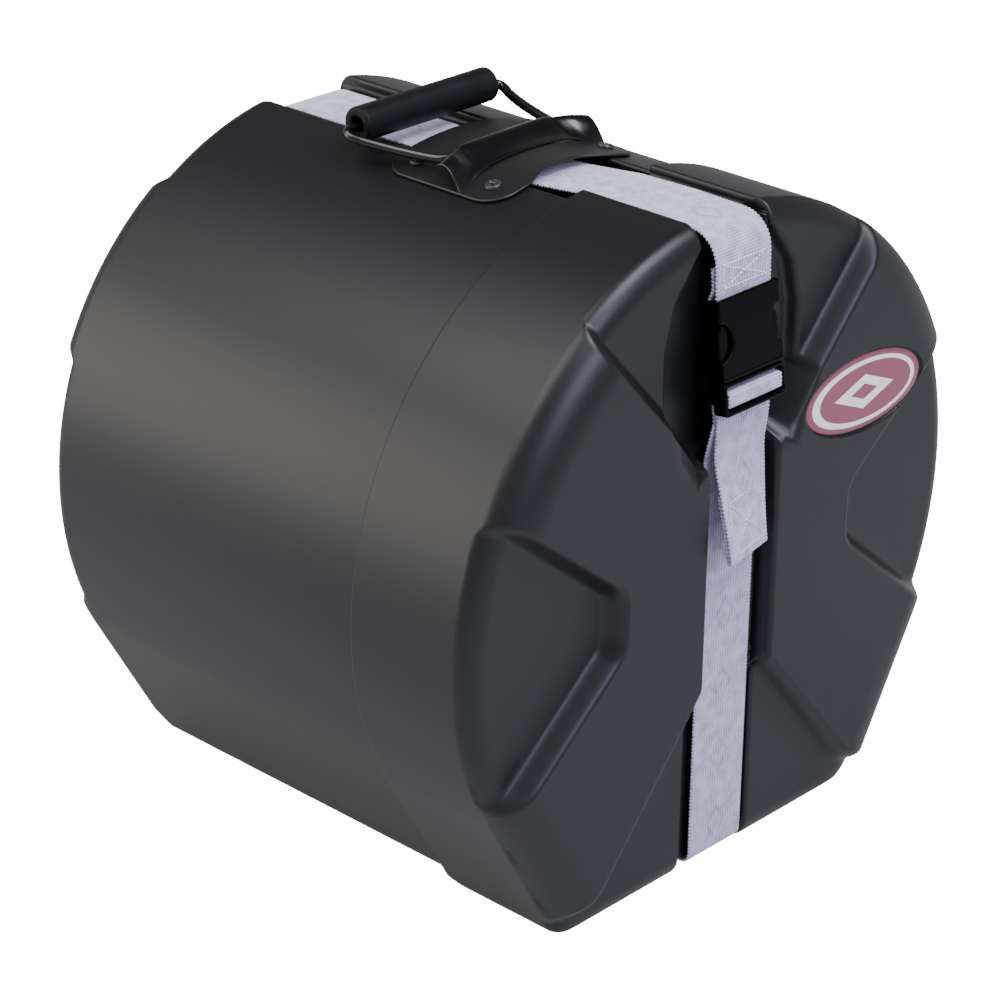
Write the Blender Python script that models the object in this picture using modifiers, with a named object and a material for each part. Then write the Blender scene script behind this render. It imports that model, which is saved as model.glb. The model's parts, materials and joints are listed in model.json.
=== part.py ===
"""Drum case with a telescoping lid, a strap with a side-release buckle, and a bail handle.

Metres, +Z up. The case stands on its flat side with its axis along Y and its lid towards -Y.
Distances called depth run back from the plane of the lid's raised pads.
"""

from math import acos, asin, atan2, cos, hypot, pi, radians, sin, sqrt, tan

import bmesh
import bpy
from mathutils import Matrix, Vector

# Case body
LID_RADIUS = 0.228
FLAT_CUT = 0.0134
FLAT_WIDTH_SHARE = 0.614
CORNER_RADIUS = 0.021
LEAST_CORNER_RADIUS = 0.0012
CASE_LENGTH = 0.4064
WALL = 0.0045
LID_SLIDE_GAP = 0.0012
SEAT_GAP = 0.0003
LID_LENGTH = 0.1105
BASE_RIM_DEPTH = 0.050
LID_RAMP_LENGTH = 0.0105
LID_RAMP_RISE = 0.0035
OVERRUN = 0.006

# Relief of the two faces
RECESS_DEPTH = 0.014
PAD_ROUND_RADIAL = 0.030
PAD_ROUND_DEPTH = 0.024
PAD_SET_IN = 0.0002
PAD_CHAMFER = 0.0025
RECESS_ROUND_RADIAL = 0.016
RECESS_ROUND_DEPTH = 0.013
DRAFT_ANGLE = radians(21)
UPPER_DIAGONAL_SLOPE = 1.1
LOWER_DIAGONAL_FOOT_SHARE = 0.323
LOWER_DIAGONAL_SLOPE = 1.19
PAD_TIP_HEIGHT = 0.026
SIDE_TIP_X_SHARE = 0.4693
SIDE_TIP_LOW_SHARE = 0.0816
SIDE_TIP_HIGH_SHARE = 0.0895
SIDE_TIP_RADIUS = 0.012
SIDE_LOWER_SLOPE = 0.836
SIDE_UPPER_SLOPE = 0.783

# Strap channel and buckle pocket
CHANNEL_HALF_WIDTH = 0.030
CHANNEL_FACE_DEPTH = 0.0165
LID_CHANNEL_DEPTH = 0.0091
BASE_CHANNEL_DEPTH = 0.0110
CHANNEL_TOP_RADIUS = 0.020
CHANNEL_FOOT_RADIUS = 0.005
POCKET_DEPTH = 0.022
POCKET_DRAFT = 0.003
POCKET_HALF_WIDTH = 0.058
POCKET_TOP_DROP = 0.0186
POCKET_WIDE_TOP_DROP = 0.0726
POCKET_WIDE_FOOT_DROP = 0.1126
POCKET_FOOT_DROP = 0.1426
POCKET_TO_PADS = 0.014
POCKET_TOP_SHARE = 0.53
POCKET_SHOULDER_SHARES = (0.88, 0.5)
POCKET_FOOT_SHARE = 0.62

# Runners under the base
RUNNER_SIDE_MARGIN = 0.048
RUNNER_WIDTH = 0.020
RUNNER_START_DEPTH = 0.150
RUNNER_REAR_MARGIN = 0.0564
RUNNER_END_RADIUS = 0.008

# Webbing
WEB_WIDTH = 0.050
WEB_THICKNESS = 0.002
WEB_CROSSING_LENGTH = 0.042
WEB_CROSSING_LIFT = 0.002

# Handle
PLATE_HALF_WIDTH = 0.067
PLATE_FRONT_DEPTH = 0.147
PLATE_REAR_DEPTH = 0.247
PLATE_CORNER_RADIUS = 0.018
PLATE_THICKNESS = 0.002
RIVET_X = 0.051
RIVET_EDGE = 0.018
RIVET_SHANK_RADIUS = 0.0024
RIVET_HEAD_RADIUS = 0.0055
RIVET_HEAD_HEIGHT = 0.0022
BACKING_HALF_WIDTH = 0.008
BACKING_THICKNESS = 0.0015
BAIL_HINGE_DEPTH = 0.205
BAIL_WIRE_RADIUS = 0.0028
BAIL_HINGE_HALF_WIDTH = 0.046
BAIL_GRIP_HALF_WIDTH = 0.0665
BAIL_REACH = 0.070
BAIL_LIFT = 0.0035
BAIL_HINGE_BEND = 0.006
BAIL_GRIP_BEND = 0.009
GRIP_RADIUS = 0.0095
GRIP_BORE_RADIUS = 0.0046
GRIP_HALF_LENGTH = 0.057
GRIP_ROUND = 0.0012
COVER_THICKNESS = 0.0012
COVER_HALF_WIDTH = 0.041
COVER_WING_HALF_WIDTH = 0.066
COVER_FRONT_REACH = 0.016
COVER_REAR_REACH = 0.0062
COVER_ARCH_SHARES = ((-2, 0.33), (-0.75, 0.8), (0, 1), (0.8, 0.75), (1.6, 0))
COVER_WING_FRONT_REACH = 0.026
COVER_WING_TOP_REACH = 0.012
COVER_WING_REAR_REACH = 0.007
COVER_WING_SHARES = ((-1.55, -1), (-1.2, 0.1), (-1, 0.2), (-0.85, 0.2), (-0.7, 0))
COVER_WING_REAR_DROP_SHARE = 0.3
COVER_ARCH_STATION_SHARES = (0, 0.4, 0.75, 1)
COVER_WING_STATION_SHARES = (0.15, 0.3, 0.5, 0.7, 0.85, 1)
BAIL_ROOM_REACH = 0.018
BAIL_ROOM_HALF_HEIGHT = 0.012

# Buckle
BUCKLE_WIDTH = 0.056
BUCKLE_THICKNESS = 0.015
BUCKLE_LEAN = radians(8.3)
BUCKLE_MOUTH_DROP = 0.0966
BUCKLE_FRONT_DEPTH = -0.0031
BUCKLE_EDGE = 0.0018
SOCKET_LENGTH = 0.051
SOCKET_WALL = 0.0022
SOCKET_CAVITY_LENGTH = 0.038
SOCKET_SLOT_LENGTH = 0.011
SOCKET_BAR_RADIUS = 0.002
SOCKET_BAR_DEPTH = 0.008
SOCKET_BAR_DROP = 0.005
SOCKET_WINDOW_RADIUS = 0.0125
SOCKET_WINDOW_CENTRE = 0.0245
PLUG_LENGTH = 0.021
PLUG_SHOULDER = 0.003
PLUG_RAIL = 0.0027
PLUG_LOW_BAR_HEIGHT = 0.003
PLUG_LOW_BAR_THICKNESS = 0.0105
PLUG_MID_BAR_FRONT = 0.0025
PLUG_MID_BAR_REAR = 0.0065
PLUG_MID_BAR_TOP = 0.0085
PLUG_WEB_CORNER = 0.0008
PLUG_WEB_EXIT = 0.0070
PLUG_MID_BAR_HEIGHT = 0.0055
PLUG_GUIDE_HALF_WIDTH = 0.004
PLUG_GUIDE_LENGTH = 0.033
PRONG_ROOT_X = 0.0125
PRONG_ROOT_LENGTH = 0.004
PRONG_THICKNESS = 0.0075
PRONG_WIDTH = 0.0035
PRONG_SHOULDER_HEIGHT = 0.0127
PRONG_TIP_HEIGHT = 0.0345
PRONG_BARB_X = 0.0272
PRONG_SHARES = (0.5, 1, 0.25, 1.5, 2.2, 2)
PRONG_RUN_GAP = 0.0004
TAIL_LENGTH = 0.090
TAIL_TIP_DEPTH = -0.0065
TAIL_MID_DEPTH = 0.0055
TAIL_MID_SHARE = 0.28
TAIL_FOLD_SHARE = 0.42
RUN_LIFT = 0.0020
RUN_TURN_DROP = 0.052

# Linings
LINING_THICKNESS = 0.006
LINING_START = 0.002
LINING_WINDOW_MARGIN = 0.004
LINING_WINDOW_REACH = 0.018
END_PAD_THICKNESS = 0.010
END_PAD_INSET = 0.014

# Badge
BADGE_X_SHARE = 0.5
BADGE_HEIGHT_SHARE = 0.3614
BADGE_LENGTH_SHARE = 0.2478
BADGE_WIDTH_SHARE = 0.1096
BADGE_TILT = radians(12)
BADGE_RECESS = 0.0010
BADGE_THICKNESS = 0.0009

# Facets
ARC_STEPS = 18
CORNER_STEPS = 3
ROUND_STEPS = 4
BEND_STEPS = 4
TURN_STEPS = 16
LOOP_STEPS = 8
NOTCH_POINTS = 4
WRAP_STEPS = 2
BADGE_STEPS = 28
BAR_STEPS = 12
WINDOW_STEPS = 20
WIRE_STEPS = 3
BEVEL_STEPS = 2
SHEET_FACET_ANGLE = radians(3)
SMOOTH_ANGLE = radians(32)
BEVEL_ANGLE = radians(40)
MERGE_DISTANCE = 0.00002

# Places that follow from the sizes above
FRONT_OVERHANG = -min(TAIL_TIP_DEPTH, BUCKLE_FRONT_DEPTH - PLUG_LENGTH * sin(BUCKLE_LEAN))
FRONT_Y = (FRONT_OVERHANG - CASE_LENGTH) / 2
REAR_Y = FRONT_Y + CASE_LENGTH
BASE_INSET = WALL + LID_SLIDE_GAP
CENTRE_HEIGHT = LID_RADIUS - FLAT_CUT
FLAT_HALF_WIDTH = LID_RADIUS * FLAT_WIDTH_SHARE
SIDE_NORMAL = acos(LID_RADIUS / hypot(FLAT_HALF_WIDTH, CENTRE_HEIGHT)) - atan2(CENTRE_HEIGHT, FLAT_HALF_WIDTH)
CASE_TOP = CENTRE_HEIGHT + LID_RADIUS
POCKET_TOP = CASE_TOP - POCKET_TOP_DROP
POCKET_WIDE_TOP = CASE_TOP - POCKET_WIDE_TOP_DROP
POCKET_WIDE_FOOT = CASE_TOP - POCKET_WIDE_FOOT_DROP
POCKET_FOOT = CASE_TOP - POCKET_FOOT_DROP
UPPER_DIAGONAL_FOOT = POCKET_FOOT - POCKET_TO_PADS
LOWER_DIAGONAL_FOOT = CENTRE_HEIGHT - LID_RADIUS * LOWER_DIAGONAL_FOOT_SHARE
SIDE_TIP_X = LID_RADIUS * SIDE_TIP_X_SHARE
SIDE_TIP_LOW = CENTRE_HEIGHT - LID_RADIUS * SIDE_TIP_LOW_SHARE
SIDE_TIP_HIGH = CENTRE_HEIGHT + LID_RADIUS * SIDE_TIP_HIGH_SHARE
RUNNER_X = FLAT_HALF_WIDTH - RUNNER_SIDE_MARGIN
RUNNER_END_DEPTH = CASE_LENGTH - RUNNER_REAR_MARGIN
BADGE_X = LID_RADIUS * BADGE_X_SHARE
BADGE_HEIGHT = CENTRE_HEIGHT + LID_RADIUS * BADGE_HEIGHT_SHARE
BADGE_HALF_LENGTH = LID_RADIUS * BADGE_LENGTH_SHARE
BADGE_HALF_HEIGHT = LID_RADIUS * BADGE_WIDTH_SHARE
BARREL_RADIUS = LID_RADIUS - BASE_INSET
PLATE_INNER_RADIUS = BARREL_RADIUS + SEAT_GAP
PLATE_OUTER_RADIUS = PLATE_INNER_RADIUS + PLATE_THICKNESS
FACET_HALF_ANGLE = (pi / 2 - SIDE_NORMAL) / ARC_STEPS / 2
BACKING_OUTER_RADIUS = (BARREL_RADIUS - WALL) * cos(FACET_HALF_ANGLE) - SEAT_GAP
HINGE_Y = FRONT_Y + BAIL_HINGE_DEPTH
HINGE_Z = CENTRE_HEIGHT + PLATE_OUTER_RADIUS + SEAT_GAP + BAIL_WIRE_RADIUS
BUCKLE_MOUTH_HEIGHT = CASE_TOP - BUCKLE_MOUTH_DROP
BUCKLE_PLACE = Vector((0, FRONT_Y + BUCKLE_FRONT_DEPTH, BUCKLE_MOUTH_HEIGHT))
RUN_TURN_HEIGHT = BUCKLE_MOUTH_HEIGHT - RUN_TURN_DROP


def clear_scene():
    """Removes whatever the file holds"""
    for item in list(bpy.data.objects):
        bpy.data.objects.remove(item, do_unlink=True)


def collection(name):
    group = bpy.data.collections.new(name)
    bpy.context.scene.collection.children.link(group)
    return group


def material(name, colour, roughness, metallic=0.0):
    """A Principled BSDF in one colour"""
    finish = bpy.data.materials.new(name)
    finish.use_nodes = True
    shader = finish.node_tree.nodes["Principled BSDF"]
    shader.inputs["Base Color"].default_value = (*colour, 1.0)
    shader.inputs["Roughness"].default_value = roughness
    shader.inputs["Metallic"].default_value = metallic
    finish.diffuse_color = (*colour, 1.0)
    return finish


clear_scene()
PARTS = collection("drum_case")
CUTTERS = collection("cutters")

SHELL_PLASTIC = material("shell_plastic", (0.030, 0.030, 0.032), 0.42)
BLACK_STEEL = material("black_steel", (0.025, 0.025, 0.027), 0.38, 0.3)
GLOSS_STEEL = material("gloss_steel", (0.020, 0.020, 0.022), 0.15, 0.2)
GRIP_RUBBER = material("grip_rubber", (0.022, 0.022, 0.022), 0.62)
BUCKLE_PLASTIC = material("buckle_plastic", (0.028, 0.028, 0.031), 0.33)
WEBBING = material("webbing", (0.420, 0.400, 0.450), 0.85)
FOAM = material("foam", (0.060, 0.060, 0.062), 0.95)
BADGE_INK = material("badge_ink", (0.300, 0.075, 0.095), 0.30)


def add_part(name, mesh, finish, group=PARTS):
    """Puts a mesh in the scene as a part, or as a cutter when it has no finish"""
    item = bpy.data.objects.new(name, mesh)
    group.objects.link(item)
    if finish is None:
        item.hide_render = True
        item.display_type = "WIRE"
    else:
        mesh.materials.append(finish)
    return item


def add_cutter(name, mesh):
    return add_part(name, mesh, None, CUTTERS)


def mesh_from(name, work):
    """Closes a bmesh with its faces pointing out and gives it as a mesh"""
    bmesh.ops.recalc_face_normals(work, faces=work.faces)
    mesh = bpy.data.meshes.new(name)
    work.to_mesh(mesh)
    work.free()
    mesh.shade_smooth()
    mesh.set_sharp_from_angle(angle=SMOOTH_ANGLE)
    return mesh


def loft(name, rings):
    """Skins closed rings of equal count one after the other and caps the two ends"""
    work = bmesh.new()
    loops = [[work.verts.new(point) for point in ring] for ring in rings]
    for low, high in zip(loops, loops[1:]):
        for i, corner in enumerate(low):
            j = (i + 1) % len(low)
            work.faces.new((corner, low[j], high[j], high[i]))
    work.faces.new(reversed(loops[0]))
    work.faces.new(loops[-1])
    return mesh_from(name, work)


def tube_between(name, outer, inner, start, end):
    """A ring-shaped wall along Y between two outlines of equal count"""
    work = bmesh.new()
    loops = []
    for outline in (outer, inner):
        for y in (start, end):
            loops.append([work.verts.new((x, y, z)) for x, z in outline])
    outer_front, outer_back, inner_front, inner_back = loops
    for near, far in ((outer_front, outer_back), (outer_back, inner_back),
                      (inner_back, inner_front), (inner_front, outer_front)):
        for i, corner in enumerate(near):
            j = (i + 1) % len(near)
            work.faces.new((corner, near[j], far[j], far[i]))
    return mesh_from(name, work)


def block(name, low, high):
    """A box between two opposite corners"""
    work = bmesh.new()
    bmesh.ops.create_cube(work, size=1)
    centre = (Vector(low) + Vector(high)) / 2
    size = Vector(high) - Vector(low)
    place = Matrix.Translation(centre) @ Matrix.Diagonal((*size, 1))
    bmesh.ops.transform(work, matrix=place, verts=work.verts)
    return mesh_from(name, work)


def rod(name, radius, start, end, steps=TURN_STEPS):
    """A cylinder between two points"""
    axis = Vector(end) - Vector(start)
    turn = Vector((0, 0, 1)).rotation_difference(axis).to_matrix().to_4x4()
    place = Matrix.Translation((Vector(start) + Vector(end)) / 2) @ turn
    work = bmesh.new()
    bmesh.ops.create_cone(work, cap_ends=True, segments=steps, radius1=radius, radius2=radius,
                          depth=axis.length, matrix=place)
    return mesh_from(name, work)


def boolean(target, cutter, operation="DIFFERENCE"):
    change = target.modifiers.new(cutter.name, "BOOLEAN")
    change.operation = operation
    change.solver = "EXACT"
    change.object = cutter


def bevel(target, width):
    change = target.modifiers.new("edge", "BEVEL")
    change.width = width
    change.segments = BEVEL_STEPS
    change.limit_method = "ANGLE"
    change.angle_limit = BEVEL_ANGLE
    change.use_clamp_overlap = True


def round_corners(corners, radii, steps=BEND_STEPS, closed=False):
    """A path through corners, each one turned into an arc of its own radius"""
    points = []
    count = len(corners)
    for i, (corner, radius) in enumerate(zip(corners, radii)):
        here = Vector(corner)
        at_end = not closed and i in (0, count - 1)
        if at_end or radius == 0:
            points.append(here)
            continue
        back = (Vector(corners[i - 1]) - here).normalized()
        ahead = (Vector(corners[(i + 1) % count]) - here).normalized()
        half_angle = acos(max(-1, min(1, back.dot(ahead)))) / 2
        centre = here + (back + ahead).normalized() * radius / sin(half_angle)
        first = here + back * radius / tan(half_angle) - centre
        for k in range(steps + 1):
            angle = (pi - 2 * half_angle) * k / steps
            points.append(centre + first * cos(angle) - back * radius * sin(angle))
    return points


def offset_outline(points, distance):
    """An outline that runs anticlockwise, moved outwards by a distance with its corners kept sharp"""
    moved = []
    for i, point in enumerate(points):
        here = Vector(point)
        before = here - Vector(points[i - 1])
        after = Vector(points[(i + 1) % len(points)]) - here
        normals = [Vector((edge.y, -edge.x)).normalized() for edge in (before, after)]
        moved.append(here + (normals[0] + normals[1]) * distance / (1 + normals[0].dot(normals[1])))
    return moved


def offset_path(points, distance):
    """An open path in one plane, moved to its left by a distance"""
    moved = []
    for i, point in enumerate(points):
        edges = []
        if i > 0:
            edges.append(Vector(point) - Vector(points[i - 1]))
        if i < len(points) - 1:
            edges.append(Vector(points[i + 1]) - Vector(point))
        normals = [Vector((-edge.y, edge.x)).normalized() for edge in edges]
        total = sum(normals[1:], normals[0])
        moved.append(Vector(point) + total * distance * len(normals) / total.length_squared)
    return moved


def ribbon(name, path, half_width, thickness=WEB_THICKNESS):
    """Webbing as a strip along a path of Y and Z, with its thickness to the path's left"""
    outline = list(path) + list(reversed(offset_path(path, thickness)))
    return loft(name, [[(x, y, z) for y, z in outline] for x in (-half_width, half_width)])


def section(inset, notch_half_width=0, notch_depth=0, kept=None):
    """The case's D-shaped section in X and Z, set in from the lid's outside by a distance.

    Its right half is the corner's arc and then the big arc. The notches are the strap channel's,
    and kept is how many points of each half stay outside them.
    """
    side = 1 / cos(SIDE_NORMAL) + tan(SIDE_NORMAL)
    corner_x = FLAT_HALF_WIDTH - CORNER_RADIUS * side
    corner_arc = max(CORNER_RADIUS - inset, LEAST_CORNER_RADIUS)
    half = []
    for k in range(CORNER_STEPS + 1):
        angle = -pi / 2 + (SIDE_NORMAL + pi / 2) * k / CORNER_STEPS
        half.append((corner_x + corner_arc * cos(angle), CORNER_RADIUS + corner_arc * sin(angle)))
    for k in range(ARC_STEPS + 1):
        angle = SIDE_NORMAL + (pi / 2 - SIDE_NORMAL) * k / ARC_STEPS
        radius = LID_RADIUS - inset
        half.append((radius * cos(angle), CENTRE_HEIGHT + radius * sin(angle)))
    if not notch_depth:
        return half + [(-x, z) for x, z in reversed(half[:-1])]
    floor = inset + notch_depth
    clear = [point for point in half if point[0] > notch_half_width]
    dropped = half[len(clear)]
    share = (clear[-1][0] - notch_half_width) / (clear[-1][0] - dropped[0])
    edge = clear[-1][1] + (dropped[1] - clear[-1][1]) * share
    half = [(notch_half_width, floor), (notch_half_width, inset)] + clear[:kept]
    half += [(notch_half_width, edge), (notch_half_width, CASE_TOP - floor)]
    return half + [(-x, z) for x, z in reversed(half)]


def rounded_body(name, inset, face_inset, face_depth, round_radial, round_depth, length, place):
    """The D section along Y, with an elliptical round where it meets its face"""
    rings = []
    for k in range(ROUND_STEPS + 1):
        angle = pi / 2 * k / ROUND_STEPS
        depth = face_depth + face_inset + (round_depth - face_inset) * (1 - cos(angle))
        rings.append((depth, inset + (round_radial - face_inset) * (1 - sin(angle))))
    rings.append((length, inset))
    return loft(name, [[(x, place(depth), z) for x, z in section(away)] for depth, away in rings])


def pad_outline():
    """The right-hand pad's edge: two arms that meet beside the channel, carried past the case's side"""
    far_x = LID_RADIUS + CORNER_RADIUS
    top = CASE_TOP + CORNER_RADIUS
    corners = [
        (CHANNEL_HALF_WIDTH, LOWER_DIAGONAL_FOOT),
        (CHANNEL_HALF_WIDTH + (LOWER_DIAGONAL_FOOT - PAD_TIP_HEIGHT) / LOWER_DIAGONAL_SLOPE, PAD_TIP_HEIGHT),
        (far_x, PAD_TIP_HEIGHT),
        (far_x, SIDE_TIP_LOW - (far_x - SIDE_TIP_X) * SIDE_LOWER_SLOPE),
        (SIDE_TIP_X, SIDE_TIP_LOW),
        (SIDE_TIP_X, SIDE_TIP_HIGH),
        (far_x, SIDE_TIP_HIGH + (far_x - SIDE_TIP_X) * SIDE_UPPER_SLOPE),
        (far_x, top),
        (CHANNEL_HALF_WIDTH + (top - UPPER_DIAGONAL_FOOT) / UPPER_DIAGONAL_SLOPE, top),
        (CHANNEL_HALF_WIDTH, UPPER_DIAGONAL_FOOT),
    ]
    radii = [0, 0, 0, 0, SIDE_TIP_RADIUS, SIDE_TIP_RADIUS, 0, 0, 0, 0]
    return round_corners(corners, radii, closed=True)


def pocket_outline():
    """The buckle pocket's edge at the level of the recess floor"""
    half = [
        (POCKET_HALF_WIDTH * POCKET_FOOT_SHARE, POCKET_FOOT),
        (POCKET_HALF_WIDTH, POCKET_WIDE_FOOT),
        (POCKET_HALF_WIDTH, POCKET_WIDE_TOP),
        (POCKET_HALF_WIDTH * POCKET_SHOULDER_SHARES[0],
         POCKET_WIDE_TOP + (POCKET_TOP - POCKET_WIDE_TOP) * POCKET_SHOULDER_SHARES[1]),
        (POCKET_HALF_WIDTH * POCKET_TOP_SHARE, POCKET_TOP),
    ]
    return half + [(-x, z) for x, z in reversed(half)]


def levels(name, outline, steps, place, flip=1):
    """An outline of X and Z carried along Y, moved outwards by a distance at each depth"""
    rings = []
    for depth, distance in steps:
        ring = offset_outline(outline, distance)
        rings.append([(x * flip, place(depth), z) for x, z in ring])
    return loft(name, rings)


def channel_outline(wall, floor_drop, length, place):
    """What lies outside the channel's floor, as a C-shaped outline of Y and Z"""
    front = CHANNEL_FACE_DEPTH + wall
    top = CASE_TOP - floor_drop
    foot = floor_drop
    corners = [(length, top), (front, top), (front, foot), (length, foot)]
    radii = [0, CHANNEL_TOP_RADIUS, CHANNEL_FOOT_RADIUS, 0]
    floor = round_corners(corners, radii)
    outside = [(length, -OVERRUN), (-OVERRUN, -OVERRUN), (-OVERRUN, CASE_TOP + OVERRUN),
               (length, CASE_TOP + OVERRUN)]
    return [(place(depth), z) for depth, z in list(floor) + outside]


def pressed_form(item, name, radial_inset, wall, channel_depth, half_width, length, place, pocket):
    """Gives a D-shaped body its raised pads, recesses, strap channel and buckle pocket.

    Wall is how far its faces lie inside the moulding's outer faces, so the same form makes the inside.
    """
    pad_body = add_cutter(name + "_pad_body", rounded_body(
        name + "_pad_body", radial_inset + PAD_SET_IN, wall, 0, PAD_ROUND_RADIAL, PAD_ROUND_DEPTH,
        PAD_ROUND_DEPTH + OVERRUN, place))
    draft = (RECESS_DEPTH - PAD_CHAMFER) * tan(DRAFT_ANGLE)
    root = RECESS_DEPTH + wall + OVERRUN / 2
    for side, flip in (("left", -1), ("right", 1)):
        steps = [(wall, -PAD_CHAMFER - wall), (wall + PAD_CHAMFER, -wall),
                 (RECESS_DEPTH + wall, draft - wall), (root, draft - wall)]
        pad_name = f"{name}_pad_{side}"
        pad = add_cutter(pad_name, levels(pad_name, pad_outline(), steps, place, flip))
        boolean(pad, pad_body, "INTERSECT")
        boolean(item, pad, "UNION")
    outline = channel_outline(wall, radial_inset + channel_depth, length + OVERRUN, place)
    groove = add_cutter(name + "_channel", loft(
        name + "_channel", [[(x, y, z) for y, z in outline] for x in (-half_width, half_width)]))
    boolean(item, groove)
    if pocket:
        steps = [(RECESS_DEPTH - PAD_CHAMFER, wall), (RECESS_DEPTH, wall),
                 (POCKET_DEPTH + wall, wall - POCKET_DRAFT)]
        well = add_cutter(name + "_pocket", levels(name + "_pocket", pocket_outline(), steps, place))
        boolean(item, well)


def from_front(depth):
    return FRONT_Y + depth


def from_rear(depth):
    return REAR_Y - depth


def lid_shell():
    body = rounded_body("lid_shell", 0, 0, RECESS_DEPTH, RECESS_ROUND_RADIAL, RECESS_ROUND_DEPTH,
                        LID_LENGTH, from_front)
    lid = add_part("lid_shell", body, SHELL_PLASTIC)
    pressed_form(lid, "lid_outer", 0, 0, LID_CHANNEL_DEPTH, CHANNEL_HALF_WIDTH, LID_LENGTH, from_front, True)
    past_rim = LID_LENGTH + OVERRUN
    inner = add_cutter("lid_inside", rounded_body(
        "lid_inside", WALL, WALL, RECESS_DEPTH, RECESS_ROUND_RADIAL, RECESS_ROUND_DEPTH, past_rim,
        from_front))
    pressed_form(inner, "lid_inner", WALL, WALL, LID_CHANNEL_DEPTH, CHANNEL_HALF_WIDTH + WALL, past_rim,
                 from_front, True)
    boolean(lid, inner)
    rim = FRONT_Y + LID_LENGTH
    wedge = [(rim - LID_RAMP_LENGTH, 0), (rim, LID_RAMP_RISE), (rim + OVERRUN, LID_RAMP_RISE),
             (rim + OVERRUN, -OVERRUN), (rim - LID_RAMP_LENGTH, -OVERRUN)]
    ramp = add_cutter("lid_ramp", loft(
        "lid_ramp", [[(x, y, z) for y, z in wedge] for x in (-FLAT_HALF_WIDTH, FLAT_HALF_WIDTH)]))
    boolean(lid, ramp)
    recess = add_cutter("badge_recess", badge_disc("badge_recess", SEAT_GAP, -OVERRUN, BADGE_RECESS))
    boolean(lid, recess)
    return lid


def base_shell():
    length = CASE_LENGTH - BASE_RIM_DEPTH
    body = rounded_body("base_shell", BASE_INSET, 0, RECESS_DEPTH, RECESS_ROUND_RADIAL, RECESS_ROUND_DEPTH,
                        length, from_rear)
    base = add_part("base_shell", body, SHELL_PLASTIC)
    groove_half_width = CHANNEL_HALF_WIDTH + WALL + LID_SLIDE_GAP
    pressed_form(base, "base_outer", BASE_INSET, 0, BASE_CHANNEL_DEPTH, groove_half_width, length,
                 from_rear, False)
    for side in (-1, 1):
        name = f"runner_{'left' if side < 0 else 'right'}"
        edge = (RUNNER_WIDTH / 2, (RUNNER_END_DEPTH - RUNNER_START_DEPTH) / 2)
        outline = round_corners([(-edge[0], -edge[1]), (edge[0], -edge[1]), edge, (-edge[0], edge[1])],
                                [RUNNER_END_RADIUS] * 4, closed=True)
        middle = FRONT_Y + (RUNNER_START_DEPTH + RUNNER_END_DEPTH) / 2
        runner = add_cutter(name, loft(name, [
            [(side * RUNNER_X + x, middle + y, z) for x, y in outline] for z in (0, BASE_INSET + WALL / 2)]))
        boolean(base, runner, "UNION")
    inset = BASE_INSET + WALL
    past_rim = length + OVERRUN
    inner = add_cutter("base_inside", rounded_body(
        "base_inside", inset, WALL, RECESS_DEPTH, RECESS_ROUND_RADIAL, RECESS_ROUND_DEPTH, past_rim,
        from_rear))
    pressed_form(inner, "base_inner", inset, WALL, BASE_CHANNEL_DEPTH, groove_half_width + WALL, past_rim,
                 from_rear, False)
    boolean(base, inner)
    return base


def badge_disc(name, growth, start, end):
    """An oval plate on the right-hand pad, between two depths"""
    rings = []
    for depth in (start, end):
        ring = []
        for k in range(BADGE_STEPS):
            angle = 2 * pi * k / BADGE_STEPS
            along = (BADGE_HALF_LENGTH + growth) * cos(angle)
            across = (BADGE_HALF_HEIGHT + growth) * sin(angle)
            ring.append((BADGE_X + along * cos(BADGE_TILT) - across * sin(BADGE_TILT), FRONT_Y + depth,
                         BADGE_HEIGHT + along * sin(BADGE_TILT) + across * cos(BADGE_TILT)))
        rings.append(ring)
    return loft(name, rings)


def badge():
    back = BADGE_RECESS - SEAT_GAP
    add_part("badge", badge_disc("badge", 0, back - BADGE_THICKNESS, back), BADGE_INK)


def linings():
    """Foam on the base's wall and on the inside of both ends"""
    groove_half_width = CHANNEL_HALF_WIDTH + WALL + LID_SLIDE_GAP + WALL + SEAT_GAP
    wall_inset = BASE_INSET + WALL + SEAT_GAP
    start = FRONT_Y + BASE_RIM_DEPTH + LINING_START
    end = REAR_Y - CHANNEL_FACE_DEPTH - WALL - CHANNEL_TOP_RADIUS - SEAT_GAP
    inner = section(wall_inset + LINING_THICKNESS, groove_half_width + LINING_THICKNESS, BASE_CHANNEL_DEPTH)
    outer = section(wall_inset, groove_half_width, BASE_CHANNEL_DEPTH, len(inner) // 2 - NOTCH_POINTS)
    lining = add_part("base_wall_lining", tube_between("base_wall_lining", outer, inner, start, end), FOAM)
    for side, flip in (("left", -1), ("right", 1)):
        name = f"lining_window_{side}"
        radius = BARREL_RADIUS + OVERRUN - LINING_WINDOW_REACH
        strip = backing_strip(name, flip, LINING_WINDOW_MARGIN, radius, LINING_WINDOW_REACH)
        boolean(lining, add_cutter(name, strip))
    outline = section(wall_inset + END_PAD_INSET, groove_half_width + LINING_THICKNESS,
                      BASE_CHANNEL_DEPTH + CHANNEL_TOP_RADIUS - END_PAD_INSET)
    base_seat = REAR_Y - CHANNEL_FACE_DEPTH - WALL - SEAT_GAP
    lid_seat = FRONT_Y + POCKET_DEPTH + WALL + SEAT_GAP
    for name, near, far in (("base_end_pad", base_seat, base_seat - END_PAD_THICKNESS),
                            ("lid_end_pad", lid_seat, lid_seat + END_PAD_THICKNESS)):
        add_part(name, loft(name, [[(x, y, z) for x, z in outline] for y in (near, far)]), FOAM)


def radial(angle, radius):
    """The place on the barrel's top at an angle from straight up"""
    return radius * sin(angle), CENTRE_HEIGHT + radius * cos(angle)


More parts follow.
